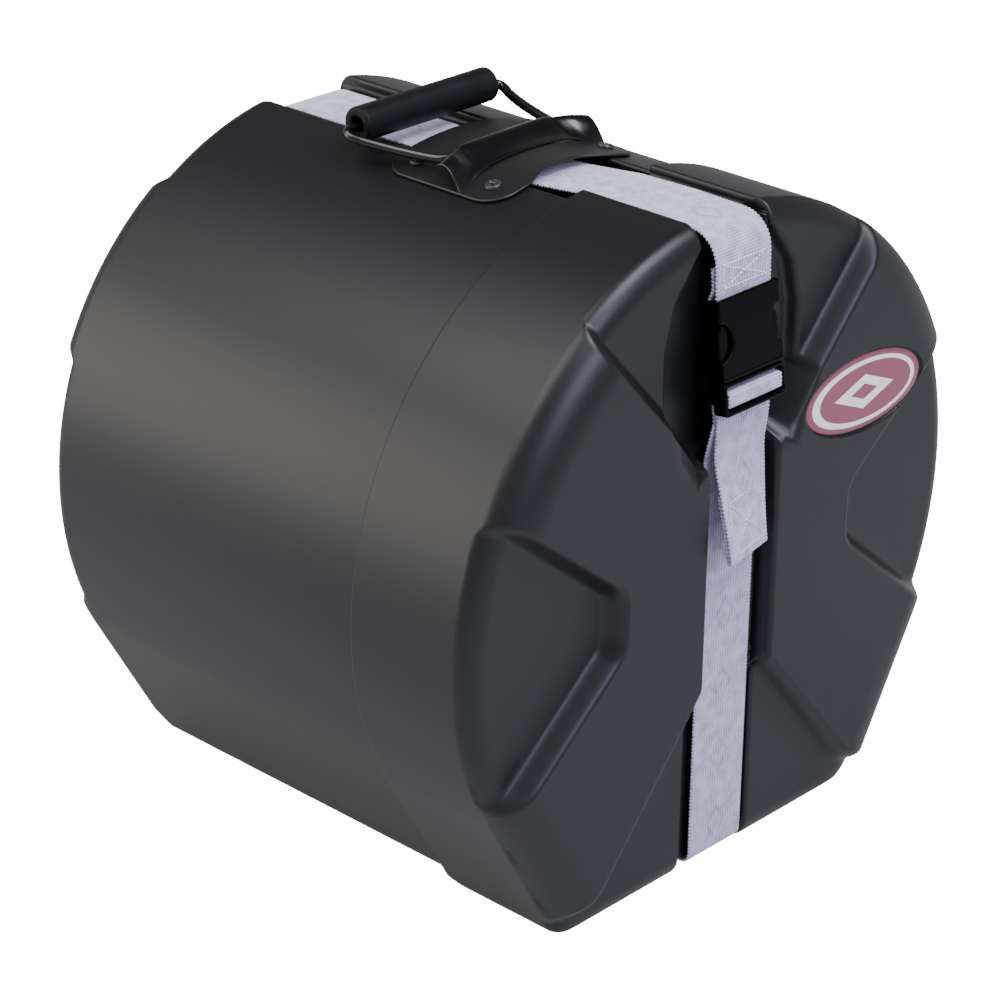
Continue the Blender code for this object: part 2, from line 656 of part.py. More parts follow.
def curved_sheet(name, half_angle_low, half_angle_high, radius, thickness, start, end, corner_radius):
    """A rounded rectangle wrapped on the barrel between two angles and two places along Y"""
    low = radius * half_angle_low
    high = radius * half_angle_high
    middle = (low + high) / 2
    half = (high - low) / 2
    flat = [(middle - half, start), (middle + half, start), (middle + half, end), (middle - half, end)]
    outline = round_corners(flat, [corner_radius] * 4, steps=CORNER_STEPS, closed=True)
    work = bmesh.new()
    verts = [work.verts.new((x, y, 0)) for x, y in outline]
    face = work.faces.new(verts)
    grown = bmesh.ops.extrude_face_region(work, geom=[face])
    top = [item for item in grown["geom"] if isinstance(item, bmesh.types.BMVert)]
    bmesh.ops.translate(work, verts=top, vec=(0, 0, thickness))
    slices = round((high - low) / (radius * SHEET_FACET_ANGLE))
    for k in range(1, slices):
        place = low + (high - low) * k / slices
        bmesh.ops.bisect_plane(work, geom=work.verts[:] + work.edges[:] + work.faces[:],
                               plane_co=(place, 0, 0), plane_no=(1, 0, 0))
    for vert in work.verts:
        angle = vert.co.x / radius
        x, z = radial(angle, radius + vert.co.z)
        vert.co = (x, vert.co.y, z)
    return mesh_from(name, work)


def rivet_places():
    """Name, angle from straight up, and Y of each rivet"""
    angle = asin(RIVET_X / PLATE_OUTER_RADIUS)
    for end, y in (("front", FRONT_Y + PLATE_FRONT_DEPTH + RIVET_EDGE),
                   ("rear", FRONT_Y + PLATE_REAR_DEPTH - RIVET_EDGE)):
        for side, flip in (("left", -1), ("right", 1)):
            yield f"{end}_{side}", flip * angle, y


def backing_strip(name, flip, growth, radius, thickness):
    """A strip inside the base under the two rivets of one side, or the room that it needs"""
    angle = flip * asin(RIVET_X / PLATE_OUTER_RADIUS)
    half = (BACKING_HALF_WIDTH + growth) / radius
    start = FRONT_Y + PLATE_FRONT_DEPTH + RIVET_EDGE - BACKING_HALF_WIDTH - growth
    end = FRONT_Y + PLATE_REAR_DEPTH - RIVET_EDGE + BACKING_HALF_WIDTH + growth
    corner = BACKING_HALF_WIDTH / 2
    return curved_sheet(name, angle - half, angle + half, radius, thickness, start, end, corner)


def rivet(name, angle, y):
    """A domed head outside, a shank through three walls and a flat head inside, turned about its own axis"""
    outside = PLATE_OUTER_RADIUS + SEAT_GAP
    inside = BACKING_OUTER_RADIUS - BACKING_THICKNESS - SEAT_GAP
    profile = []
    for k in range(BEND_STEPS + 1):
        turn = pi / 2 * k / BEND_STEPS
        profile.append((RIVET_HEAD_RADIUS * sin(turn), outside + RIVET_HEAD_HEIGHT * cos(turn)))
    head = RIVET_HEAD_RADIUS - RIVET_HEAD_HEIGHT / 2
    profile += [(RIVET_SHANK_RADIUS, outside), (RIVET_SHANK_RADIUS, inside), (head, inside),
                (head, inside - BACKING_THICKNESS), (0, inside - BACKING_THICKNESS)]
    work = bmesh.new()
    verts = [work.verts.new((x, 0, z - PLATE_OUTER_RADIUS)) for x, z in profile]
    for first, second in zip(verts, verts[1:]):
        work.edges.new((first, second))
    mesh = bpy.data.meshes.new(name)
    work.to_mesh(mesh)
    work.free()
    item = add_part(name, mesh, BLACK_STEEL)
    spin = item.modifiers.new("turn", "SCREW")
    spin.steps = TURN_STEPS
    spin.render_steps = TURN_STEPS
    spin.use_merge_vertices = True
    spin.merge_threshold = MERGE_DISTANCE
    spin.use_smooth_shade = True
    x, z = radial(angle, PLATE_OUTER_RADIUS)
    item.location = (x, y, z)
    item.rotation_euler = (0, angle, 0)


def handle_plate(base):
    """The steel plate over the channel, its rivets and the strips inside"""
    angle = asin(PLATE_HALF_WIDTH / PLATE_OUTER_RADIUS)
    plate = add_part("handle_plate", curved_sheet(
        "handle_plate", -angle, angle, PLATE_INNER_RADIUS, PLATE_THICKNESS, FRONT_Y + PLATE_FRONT_DEPTH,
        FRONT_Y + PLATE_REAR_DEPTH, PLATE_CORNER_RADIUS), BLACK_STEEL)
    strips = {}
    for side, flip in (("left", -1), ("right", 1)):
        name = f"handle_backing_{side}"
        strip_radius = BACKING_OUTER_RADIUS - BACKING_THICKNESS
        strip = backing_strip(name, flip, 0, strip_radius, BACKING_THICKNESS)
        strips[side] = add_part(name, strip, BLACK_STEEL)
    for label, turn, y in rivet_places():
        low = radial(turn, BARREL_RADIUS - WALL - BACKING_THICKNESS - OVERRUN)
        high = radial(turn, PLATE_OUTER_RADIUS + OVERRUN)
        hole = add_cutter(f"rivet_hole_{label}", rod(
            f"rivet_hole_{label}", RIVET_SHANK_RADIUS + SEAT_GAP, (low[0], y, low[1]), (high[0], y, high[1])))
        for target in (plate, base, strips["left" if turn < 0 else "right"]):
            boolean(target, hole)
        rivet(f"rivet_{label}", turn, y)


def hinge_cover():
    """A pressed arch over the bail's bar, drawn forward and down into a wing at each end"""
    ridge = BAIL_WIRE_RADIUS + SEAT_GAP
    arch = [(-COVER_FRONT_REACH, None)]
    arch += [(ridge * across, ridge * up) for across, up in COVER_ARCH_SHARES]
    arch += [(COVER_REAR_REACH, None)]
    wing = [(-COVER_WING_FRONT_REACH, None)]
    wing += [(COVER_WING_TOP_REACH * across, ridge * up) for across, up in COVER_WING_SHARES]
    wing += [(-COVER_WING_REAR_REACH, -ridge * COVER_WING_REAR_DROP_SHARE)]
    arch_end = COVER_HALF_WIDTH - BAIL_WIRE_RADIUS
    span = COVER_WING_HALF_WIDTH - arch_end
    stations = [arch_end * share for share in COVER_ARCH_STATION_SHARES]
    stations += [arch_end + span * share for share in COVER_WING_STATION_SHARES]
    work = bmesh.new()
    rows = []
    for x in [-place for place in reversed(stations[1:])] + stations:
        share = max(0, (abs(x) - arch_end) / span)
        blend = share * share * (3 - 2 * share)
        plate_top = sqrt((PLATE_OUTER_RADIUS + SEAT_GAP) ** 2 - x * x) + CENTRE_HEIGHT - HINGE_Z
        row = []
        for (arch_y, arch_z), (wing_y, wing_z) in zip(arch, wing):
            arch_z = plate_top if arch_z is None else arch_z
            wing_z = plate_top if wing_z is None else wing_z
            y = arch_y + (wing_y - arch_y) * blend
            z = max(arch_z + (wing_z - arch_z) * blend, plate_top)
            row.append(work.verts.new((x, HINGE_Y + y, HINGE_Z + z)))
        rows.append(row)
    for row, after in zip(rows, rows[1:]):
        for i in range(len(row) - 1):
            work.faces.new((row[i], row[i + 1], after[i + 1], after[i]))
    cover = add_part("hinge_cover", mesh_from("hinge_cover", work), GLOSS_STEEL)
    skin = cover.modifiers.new("sheet", "SOLIDIFY")
    skin.thickness = COVER_THICKNESS
    skin.offset = 1
    for side, flip in (("left", -1), ("right", 1)):
        near = flip * arch_end
        far = flip * (COVER_WING_HALF_WIDTH + OVERRUN)
        low = (min(near, far), HINGE_Y - BAIL_WIRE_RADIUS - SEAT_GAP, HINGE_Z - BAIL_ROOM_HALF_HEIGHT)
        high = (max(near, far), HINGE_Y + BAIL_ROOM_REACH, HINGE_Z + BAIL_ROOM_HALF_HEIGHT)
        room = add_cutter(f"bail_room_{side}", block(f"bail_room_{side}", low, high))
        boolean(cover, room)


def bail():
    """A closed loop of wire about the hinge axis, with a loose rubber tube on its far side"""
    lift = BAIL_LIFT / BAIL_REACH
    corners = [(-BAIL_HINGE_HALF_WIDTH, 0), (BAIL_HINGE_HALF_WIDTH, 0), (BAIL_GRIP_HALF_WIDTH, BAIL_REACH),
               (-BAIL_GRIP_HALF_WIDTH, BAIL_REACH)]
    radii = [BAIL_HINGE_BEND, BAIL_HINGE_BEND, BAIL_GRIP_BEND, BAIL_GRIP_BEND]
    curve = bpy.data.curves.new("bail_wire", "CURVE")
    curve.dimensions = "3D"
    curve.bevel_depth = BAIL_WIRE_RADIUS
    curve.bevel_resolution = WIRE_STEPS
    points = round_corners(corners, radii, steps=BEND_STEPS + 1, closed=True)
    spline = curve.splines.new("POLY")
    spline.points.add(len(points) - 1)
    for target, (x, y) in zip(spline.points, points):
        target.co = (x, y, y * lift, 1)
    spline.use_cyclic_u = True
    curve.materials.append(BLACK_STEEL)
    wire = bpy.data.objects.new("bail_wire", curve)
    PARTS.objects.link(wire)
    wire.location = (0, HINGE_Y, HINGE_Z)

    eccentric = GRIP_BORE_RADIUS - BAIL_WIRE_RADIUS - SEAT_GAP
    profile = [(GRIP_BORE_RADIUS, GRIP_HALF_LENGTH), (GRIP_RADIUS - GRIP_ROUND, GRIP_HALF_LENGTH),
               (GRIP_RADIUS, GRIP_HALF_LENGTH - GRIP_ROUND), (GRIP_RADIUS, GRIP_ROUND - GRIP_HALF_LENGTH),
               (GRIP_RADIUS - GRIP_ROUND, -GRIP_HALF_LENGTH), (GRIP_BORE_RADIUS, -GRIP_HALF_LENGTH)]
    work = bmesh.new()
    verts = [work.verts.new((x, 0, z)) for x, z in profile]
    for i, vert in enumerate(verts):
        work.edges.new((vert, verts[(i + 1) % len(verts)]))
    mesh = bpy.data.meshes.new("grip_sleeve")
    work.to_mesh(mesh)
    work.free()
    grip = add_part("grip_sleeve", mesh, GRIP_RUBBER)
    spin = grip.modifiers.new("turn", "SCREW")
    spin.steps = TURN_STEPS
    spin.render_steps = TURN_STEPS
    spin.use_merge_vertices = True
    spin.merge_threshold = MERGE_DISTANCE
    spin.use_smooth_shade = True
    grip.location = (0, HINGE_Y + BAIL_REACH, HINGE_Z + BAIL_LIFT + eccentric)
    grip.rotation_euler = (0, pi / 2, 0)


def buckle_point(depth, height):
    """Y and Z of a place in the buckle's own frame, which leans out at its foot"""
    place = Matrix.Rotation(-BUCKLE_LEAN, 4, "X") @ Vector((0, depth, height)) + BUCKLE_PLACE
    return place.y, place.z


def lean(item):
    item.location = BUCKLE_PLACE
    item.rotation_euler = (-BUCKLE_LEAN, 0, 0)
    return item


def buckle_socket():
    """A hollow body with a window in each side, open at its foot for the plug and at its top for webbing"""
    half = BUCKLE_WIDTH / 2
    inner_half = half - SOCKET_WALL
    socket = lean(add_part("buckle_socket", block(
        "buckle_socket", (-half, 0, 0), (half, BUCKLE_THICKNESS, SOCKET_LENGTH)), BUCKLE_PLASTIC))
    bevel(socket, BUCKLE_EDGE)
    cavity = lean(add_cutter("socket_cavity", block(
        "socket_cavity", (-inner_half, SOCKET_WALL, -OVERRUN),
        (inner_half, BUCKLE_THICKNESS - SOCKET_WALL, SOCKET_CAVITY_LENGTH))))
    slot = lean(add_cutter("socket_slot", block(
        "socket_slot", (-inner_half, SOCKET_WALL, SOCKET_LENGTH - SOCKET_SLOT_LENGTH),
        (inner_half, BUCKLE_THICKNESS + OVERRUN, SOCKET_LENGTH + OVERRUN))))
    boolean(socket, cavity)
    boolean(socket, slot)
    bar_height = SOCKET_LENGTH - SOCKET_BAR_DROP
    bar = lean(add_cutter("socket_bar", rod(
        "socket_bar", SOCKET_BAR_RADIUS, (-half + SOCKET_WALL / 2, SOCKET_BAR_DEPTH, bar_height),
        (half - SOCKET_WALL / 2, SOCKET_BAR_DEPTH, bar_height), steps=BAR_STEPS)))
    boolean(socket, bar, "UNION")
    for side, flip in (("left", -1), ("right", 1)):
        window = lean(add_cutter(f"socket_window_{side}", rod(
            f"socket_window_{side}", SOCKET_WINDOW_RADIUS, (flip * half, -OVERRUN, SOCKET_WINDOW_CENTRE),
            (flip * half, BUCKLE_THICKNESS + OVERRUN, SOCKET_WINDOW_CENTRE), steps=WINDOW_STEPS)))
        boolean(socket, window)


def buckle_plug():
    """A shoulder with a centre guide above it and a ladder frame for webbing below it"""
    half = BUCKLE_WIDTH / 2
    shoulder_top = -SEAT_GAP
    plug = lean(add_part("buckle_plug", block(
        "buckle_plug", (-half, 0, -PLUG_LENGTH), (half, BUCKLE_THICKNESS, shoulder_top)), BUCKLE_PLASTIC))
    bevel(plug, BUCKLE_EDGE / 2)
    inner_half = half - PLUG_RAIL
    rear = lean(add_cutter("plug_rear_room", block(
        "plug_rear_room", (-inner_half, PLUG_LOW_BAR_THICKNESS, -PLUG_LENGTH - OVERRUN),
        (inner_half, BUCKLE_THICKNESS + OVERRUN, -PLUG_SHOULDER))))
    window = lean(add_cutter("plug_window", block(
        "plug_window", (-inner_half, -OVERRUN, -PLUG_LENGTH + PLUG_LOW_BAR_HEIGHT),
        (inner_half, BUCKLE_THICKNESS + OVERRUN, -PLUG_SHOULDER))))
    boolean(plug, rear)
    boolean(plug, window)
    bar = lean(add_cutter("plug_bar", block(
        "plug_bar", (-half + PLUG_RAIL / 2, PLUG_MID_BAR_FRONT, -PLUG_MID_BAR_TOP - PLUG_MID_BAR_HEIGHT),
        (half - PLUG_RAIL / 2, PLUG_MID_BAR_REAR, -PLUG_MID_BAR_TOP))))
    boolean(plug, bar, "UNION")
    middle = BUCKLE_THICKNESS / 2
    guide = lean(add_cutter("plug_guide", block(
        "plug_guide", (-PLUG_GUIDE_HALF_WIDTH, middle - PRONG_THICKNESS / 2, -PLUG_SHOULDER / 2),
        (PLUG_GUIDE_HALF_WIDTH, middle + PRONG_THICKNESS / 2, PLUG_GUIDE_LENGTH))))
    boolean(plug, guide, "UNION")


def buckle_prongs():
    """Two springy arms that stand on the plug and catch in the socket's windows"""
    near = BUCKLE_THICKNESS / 2 - PRONG_THICKNESS / 2
    root, catch, swell, tip_outer, tip_inner, arm = [PRONG_WIDTH * share for share in PRONG_SHARES]
    outline = [
        (PRONG_ROOT_X - root, PRONG_RUN_GAP),
        (PRONG_ROOT_X + root, PRONG_RUN_GAP),
        (PRONG_BARB_X - catch, PRONG_SHOULDER_HEIGHT),
        (PRONG_BARB_X, PRONG_SHOULDER_HEIGHT),
        (PRONG_BARB_X - swell, (PRONG_SHOULDER_HEIGHT + PRONG_TIP_HEIGHT) / 2),
        (PRONG_BARB_X - tip_outer, PRONG_TIP_HEIGHT),
        (PRONG_BARB_X - tip_inner, PRONG_TIP_HEIGHT),
        (PRONG_BARB_X - arm, PRONG_SHOULDER_HEIGHT + PRONG_ROOT_LENGTH),
    ]
    for side, flip in (("left", -1), ("right", 1)):
        name = f"latch_prong_{side}"
        flat = [(flip * (x - PRONG_ROOT_X), z) for x, z in outline]
        rings = [[(x, y, z) for x, z in flat] for y in (near, near + PRONG_THICKNESS)]
        prong = lean(add_part(name, loft(name, rings), BUCKLE_PLASTIC))
        prong.location.x = flip * PRONG_ROOT_X


def webbing():
    """The strap, in the four lengths that the case's moving pieces carry"""
    half = WEB_WIDTH / 2
    lid_top = CASE_TOP - LID_CHANNEL_DEPTH + SEAT_GAP
    lid_foot = LID_CHANNEL_DEPTH - SEAT_GAP
    base_top = CASE_TOP - BASE_INSET - BASE_CHANNEL_DEPTH + SEAT_GAP
    base_foot = BASE_INSET + BASE_CHANNEL_DEPTH - SEAT_GAP
    rim = FRONT_Y + LID_LENGTH
    back = REAR_Y - CHANNEL_FACE_DEPTH + SEAT_GAP
    face = FRONT_Y + CHANNEL_FACE_DEPTH - SEAT_GAP
    crossing = rim + WEB_CROSSING_LENGTH

    base_path = round_corners(
        [(rim + SEAT_GAP, lid_top), (crossing, base_top + WEB_CROSSING_LIFT), (back, base_top),
         (back, base_foot), (crossing, base_foot), (rim + SEAT_GAP, lid_foot)],
        [0, 0, CHANNEL_TOP_RADIUS + SEAT_GAP, CHANNEL_FOOT_RADIUS + SEAT_GAP, 0, 0])
    add_part("strap_base_run", ribbon("strap_base_run", base_path, half), WEBBING)

    wrap = SOCKET_BAR_RADIUS + SEAT_GAP
    bar_height = SOCKET_LENGTH - SOCKET_BAR_DROP
    loop = []
    for k in range(LOOP_STEPS + 1):
        angle = pi + pi * k / LOOP_STEPS
        loop.append(buckle_point(SOCKET_BAR_DEPTH + wrap * cos(angle), bar_height + wrap * sin(angle)))
    doubled = WEB_THICKNESS + SEAT_GAP * 2
    turn = (face - doubled, lid_top)
    outer = round_corners([(rim, lid_top), turn, loop[0]], [0, CHANNEL_TOP_RADIUS, 0], steps=BEND_STEPS + 1)
    rise = (Vector(turn) - Vector(loop[0])).normalized()
    across = Vector((rise.y, -rise.x)) * SEAT_GAP
    seam_low = Vector(loop[0]) + rise * SOCKET_SLOT_LENGTH + across
    seam_high = Vector(loop[0]) + rise * SOCKET_SLOT_LENGTH * 2 + across
    lid_path = list(outer) + loop[1:] + [seam_low, seam_high]
    lid_path = [Vector(point) for point in reversed(lid_path)]
    add_part("strap_lid_top", ribbon("strap_lid_top", lid_path, half), WEBBING)

    run_lift = face - RUN_LIFT
    exit_low = PLUG_LENGTH + PLUG_WEB_EXIT
    rear_leg = PLUG_LOW_BAR_THICKNESS + WEB_THICKNESS + SEAT_GAP * 2
    run_end = buckle_point(rear_leg + WEB_THICKNESS, -exit_low - SEAT_GAP)
    run_path = round_corners(
        [(rim, lid_foot), (run_lift, lid_foot), (run_lift, RUN_TURN_HEIGHT), run_end],
        [0, CHANNEL_FOOT_RADIUS, CHANNEL_TOP_RADIUS, 0])
    add_part("strap_front_run", ribbon("strap_front_run", run_path, half), WEBBING)

    low = -PLUG_MID_BAR_TOP - PLUG_MID_BAR_HEIGHT - SEAT_GAP
    high = SEAT_GAP - PLUG_MID_BAR_TOP
    front = PLUG_MID_BAR_FRONT - SEAT_GAP
    behind = PLUG_MID_BAR_REAR + SEAT_GAP
    tail_rear = PLUG_LOW_BAR_THICKNESS + SEAT_GAP + WEB_THICKNESS
    frame_corners = [(tail_rear, -exit_low), (tail_rear, low), (front, low), (front, high), (behind, high),
                     (behind, high - PLUG_MID_BAR_HEIGHT * TAIL_FOLD_SHARE),
                     (rear_leg, low + WEB_THICKNESS / 2),
                     (rear_leg, -exit_low)]
    radii = [0, PLUG_WEB_CORNER, PLUG_WEB_CORNER, PLUG_WEB_CORNER, PLUG_WEB_CORNER, 0, 0, 0]
    frame_path = round_corners(frame_corners, radii, steps=WRAP_STEPS)
    wrap_path = [buckle_point(depth, height) for depth, height in frame_path]
    top_y, top_z = wrap_path[0]
    tail = [(FRONT_Y + TAIL_TIP_DEPTH + WEB_THICKNESS, top_z - TAIL_LENGTH),
            (FRONT_Y + TAIL_MID_DEPTH + WEB_THICKNESS, top_z - TAIL_LENGTH * TAIL_MID_SHARE)]
    add_part("strap_tail", ribbon("strap_tail", [Vector(point) for point in tail + wrap_path], half), WEBBING)


lid_shell()
base_body = base_shell()
handle_plate(base_body)
linings()
badge()
hinge_cover()
bail()
buckle_socket()
buckle_plug()
buckle_prongs()
webbing()
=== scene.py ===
"""Drum case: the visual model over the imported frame."""

import json
from math import cos, pi, radians, sin

import bpy
import numpy as np
from bpy.props import FloatProperty, FloatVectorProperty, PointerProperty
from mathutils import Matrix, Vector
from mathutils.geometry import delaunay_2d_cdt

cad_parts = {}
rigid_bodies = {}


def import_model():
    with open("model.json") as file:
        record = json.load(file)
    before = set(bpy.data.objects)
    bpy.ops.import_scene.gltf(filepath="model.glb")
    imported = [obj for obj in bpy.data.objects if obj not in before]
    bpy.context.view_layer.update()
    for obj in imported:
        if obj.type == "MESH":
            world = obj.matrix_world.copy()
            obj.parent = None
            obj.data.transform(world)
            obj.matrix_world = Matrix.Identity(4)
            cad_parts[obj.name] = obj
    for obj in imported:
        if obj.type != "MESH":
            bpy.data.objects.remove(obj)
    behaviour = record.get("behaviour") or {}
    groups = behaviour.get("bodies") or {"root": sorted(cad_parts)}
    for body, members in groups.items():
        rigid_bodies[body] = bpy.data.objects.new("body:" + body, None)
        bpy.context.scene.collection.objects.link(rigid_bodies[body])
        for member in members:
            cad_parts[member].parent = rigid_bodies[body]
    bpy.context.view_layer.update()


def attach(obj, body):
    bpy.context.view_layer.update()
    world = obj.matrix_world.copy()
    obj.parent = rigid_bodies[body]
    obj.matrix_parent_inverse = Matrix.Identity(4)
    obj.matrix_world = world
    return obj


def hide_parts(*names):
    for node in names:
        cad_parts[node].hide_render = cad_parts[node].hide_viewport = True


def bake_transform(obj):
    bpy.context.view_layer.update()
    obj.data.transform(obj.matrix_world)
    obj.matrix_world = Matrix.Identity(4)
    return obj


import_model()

bl_info = {
    "name": "Drum case",
    "version": (1, 0, 0),
    "blender": (4, 5, 0),
    "location": "View3D > Sidebar > Drum Case",
    "description": "Builds the moulded drum case, its strap and its handle over the packed frame",
    "category": "Add Mesh",
}

# Fixed sizes of the case, in metres
FRONT_Y = -0.19995
REAR_Y = 0.20645
WALL = 0.0045
SLIDE_GAP = 0.0012
FINE = 0.0015
LID_LENGTH = 0.1105
BASE_RIM_DEPTH = 0.050
RIM_ROUND = 0.0018
CHANNEL_HALF_WIDTH = 0.030
CHANNEL_DEPTH = 0.0165
CHANNEL_TOP_RADIUS = 0.020
CHANNEL_FOOT_RADIUS = 0.005
CHANNEL_WALL = 0.0016
CHANNEL_EDGE = 0.0030
CHANNEL_ROOT = 0.0020
LID_GROOVE, BASE_GROOVE = 0.0091, 0.0110
GROOVE_CORNER = 0.0018
LEAST_CORNER = 0.0015
FOOT_INNER_RADIUS = 0.045
RECESS_DEPTH = 0.014
PAD_RIM_ACROSS, PAD_RIM_DEEP = 0.030, 0.024
RECESS_RIM_ACROSS, RECESS_RIM_DEEP = 0.016, 0.013
DRAFT = radians(21)
PAD_EDGE, RECESS_EDGE = 0.0105, 0.0105
UPPER_FOOT, UPPER_SLOPE = 0.286, 1.1
LOWER_FOOT, LOWER_SLOPE = 0.141, 1.19
PAD_TIP = 0.026
PAD_CORNER = 0.012
SIDE_X, SIDE_LOW, SIDE_HIGH = 0.107, 0.196, 0.235
SIDE_LOW_SLOPE, SIDE_HIGH_SLOPE = 0.836, 0.783
SIDE_RADIUS = 0.022
POCKET = [(-0.036, 0.300), (0.036, 0.300), (0.058, 0.330), (0.058, 0.370), (0.051, 0.397), (0.031, 0.424),
          (-0.031, 0.424), (-0.051, 0.397), (-0.058, 0.370), (-0.058, 0.330)]
POCKET_CORNER = 0.006
POCKET_DEPTH = 0.022
POCKET_DRAFT = 0.0042
POCKET_EDGE = 0.003
BADGE_X, BADGE_Z = 0.1160, 0.2965
BADGE_HALF_LENGTH, BADGE_HALF_HEIGHT = 0.0580, 0.0255
BADGE_TILT = radians(-2)
BADGE_RECESS, BADGE_GAP, BADGE_EDGE = 0.0024, 0.0009, 0.0016
BADGE_PLAY, BADGE_RIM, BADGE_DOME, BADGE_STEPS = 0.0003, 0.0003, 0.0008, 160

RAMP_LENGTH, RAMP_RISE = 0.0105, 0.0034
RUNNER_X, RUNNER_HALF_WIDTH, RUNNER_ROUND = 0.092, 0.010, 0.0014
RUNNER_LOW, RUNNER_HIGH = 0.150 + FRONT_Y, 0.350 + FRONT_Y
RUNNER_CORNER, RUNNER_HEIGHT = 0.008, 0.0075

# Strap: a flat section, the edge's scallops, and the routes of its centre line in Y and Z with their bend
# radii
WEB_HALF_WIDTH, WEB_THICKNESS = 0.025, 0.002
WEB_SCALLOP, WEB_SCALLOP_PITCH = 0.00050, 0.0025
LOOP_ROUTE = [(-0.1872, 0.4140, 0), (-0.1884, 0.4010, 0.012), (-0.1854, 0.3930, 0.008),
              (-0.1854, 0.3871, 0.0030), (-0.1917, 0.3871, 0.0030), (-0.1899, 0.4349, 0.0205),
              (-0.1340, 0.4360, 0.300), (-0.0895, 0.4350, 0.060), (-0.0450, 0.4302, 0.060),
              (-0.0100, 0.4290, 0.200), (0.1912, 0.4276, 0.021), (0.1912, 0.0154, 0.0062),
              (-0.0474, 0.0154, 0.020), (-0.0890, 0.0078, 0.020), (-0.1500, 0.0078, 0)]
RUN_ROUTE = [(-0.1500, 0.0078, 0), (-0.1868, 0.0078, 0.0068), (-0.1871, 0.2900, 0.040), (-0.1932, 0.3160, 0)]
TAIL_ROUTE = [(-0.1932, 0.3160, 0), (-0.1908, 0.3327, 0.0014), (-0.1965, 0.3347, 0.0009),
              (-0.1967, 0.3384, 0.0013), (-0.2037, 0.3389, 0.0017), (-0.2042, 0.3300, 0.0017),
              (-0.1935, 0.3291, 0.0010), (-0.1954, 0.3160, 0.010), (-0.1937, 0.2913, 0.045),
              (-0.2052, 0.2266, 0)]
TAIL_TWIST, TAIL_FOLD = radians(14), 0.318
HEM_LENGTH, TAIL_TRIM, HEM_TRIM = 0.044, 0.0004, 0.0007
WEB_STEP, WEB_CREASE = 0.0006, radians(50)
WEAVE_ACROSS, WEAVE_ALONG = 0.0024, 0.0017
# The woven diamond: half its repeat, its reach, its slope, and the repeat and half width of the stripes in it
MOTIF_HALF_REPEAT, MOTIF_REACH, MOTIF_SLOPE = 0.025, 0.0225, 1.5
STRIPE_REPEAT, STRIPE_HALF_WIDTH = 0.006, 0.0022
# Sewing: the boxes' width and lengths, the stitches, and where the loop's box lies: in front of a depth,
# between two heights and past the route's first points, a little proud of the webbing
BOX_WIDTH, HEM_BOX, LOOP_BOX = 0.040, HEM_LENGTH - 0.010, 0.015
STITCH_PITCH, STITCH_LENGTH, THREAD_RADIUS = 0.0030, 0.0023, 0.00055
SEWN_FRONT, SEWN_LOW, SEWN_HIGH, SEWN_FROM, SEWN_RISE = -0.188, 0.3985, 0.4175, 60, 0.0001

# Buckle: its frame's place and lean, and its outlines in width and height above the socket's mouth
BUCKLE_PLACE = (0.0, -0.20305, 0.3460)
BUCKLE_LEAN = radians(8.3)
BUCKLE_HALF_WIDTH, BUCKLE_THICKNESS = 0.028, 0.015
SOCKET_LENGTH, SOCKET_BACK, SOCKET_PLATE = 0.051, 0.0395, 0.0024
NOTCH_RADIUS, NOTCH_HEIGHT, NOTCH_OFFSET, NOTCH_POINT = 0.0125, 0.0245, 0.0015, 0.0014
SOCKET_BAR = [(-0.0262, 0.0), (-0.0262, 0.0020), (0.0262, 0.0020), (0.0262, 0.0)]
SOCKET_BAR_DEPTH, SOCKET_BAR_HEIGHT = 0.0080, 0.0460
PRONG_OUTLINE = [(0.0108, 0.0004), (0.0146, 0.0004), (0.0158, 0.0058), (0.0262, 0.0126), (0.0278, 0.0170),
                 (0.0276, 0.0280), (0.0240, 0.0350), (0.0205, 0.0350), (0.0186, 0.0300), (0.0186, 0.0190),
                 (0.0118, 0.0090)]
PRONG_CORNERS = [0.0013, 0.0013, 0.002, 0.0015, 0.004, 0.006, 0.0018, 0.0014, 0.002, 0.006, 0.003]
PRONG_NEAR, PRONG_FAR, PRONG_EDGE = 0.0025, 0.0125, 0.0012
# Blocks of the socket and of the plug: from and to in X, in height and in depth, then corner and edge. Those
# that start beside the middle have a twin on the left. Those inside the outline are tucked in
TUCK = 0.0002
INSIDE, BACK = BUCKLE_HALF_WIDTH - TUCK, BUCKLE_THICKNESS - TUCK
SOCKET_BLOCKS = [(-INSIDE, INSIDE, 0.0365, SOCKET_BACK, TUCK, BACK, 0.0008, 0.0008),
                 (0.0252, INSIDE, TUCK, NOTCH_HEIGHT - NOTCH_RADIUS + 0.0003, TUCK, BACK, 0.0010, 0.0008),
                 (0.0258, INSIDE, 0.0380, SOCKET_LENGTH - TUCK, TUCK, 0.0115, 0.0012, 0.0008),
                 (-0.0268, 0.0268, 0.0011, 0.0028, -0.00035, 0.0010, 0.0006, 0.0004)]
PLUG_BLOCKS = [(-INSIDE, INSIDE, -0.0034, -0.0005, 0.0090, BACK, 0.0008, 0.0008),
               (-0.0256, 0.0256, -0.0145, -0.0089, 0.0027, 0.0064, 0.0009, 0.0009),
               (-0.0040, 0.0040, -0.0010, 0.0330, 0.0040, 0.0112, 0.0015, 0.0010),
               (0.0254, INSIDE, -0.0150, -0.0006, 0.0090, BUCKLE_THICKNESS, 0.0010, 0.0009)]
# The plug's frame: low and high corners of its outline and of its opening, with their corner radii
PLUG_FRAME = ((-BUCKLE_HALF_WIDTH, -0.0215), (BUCKLE_HALF_WIDTH, -0.0004), 0.0026)
PLUG_OPENING = ((-0.0253, -0.0184), (0.0253, -0.0034), 0.0012)
PLUG_MIDDLE, PLUG_DEPTH, PLUG_EDGE, PLUG_POINTS = -0.012, 0.0105, 0.0014, 220

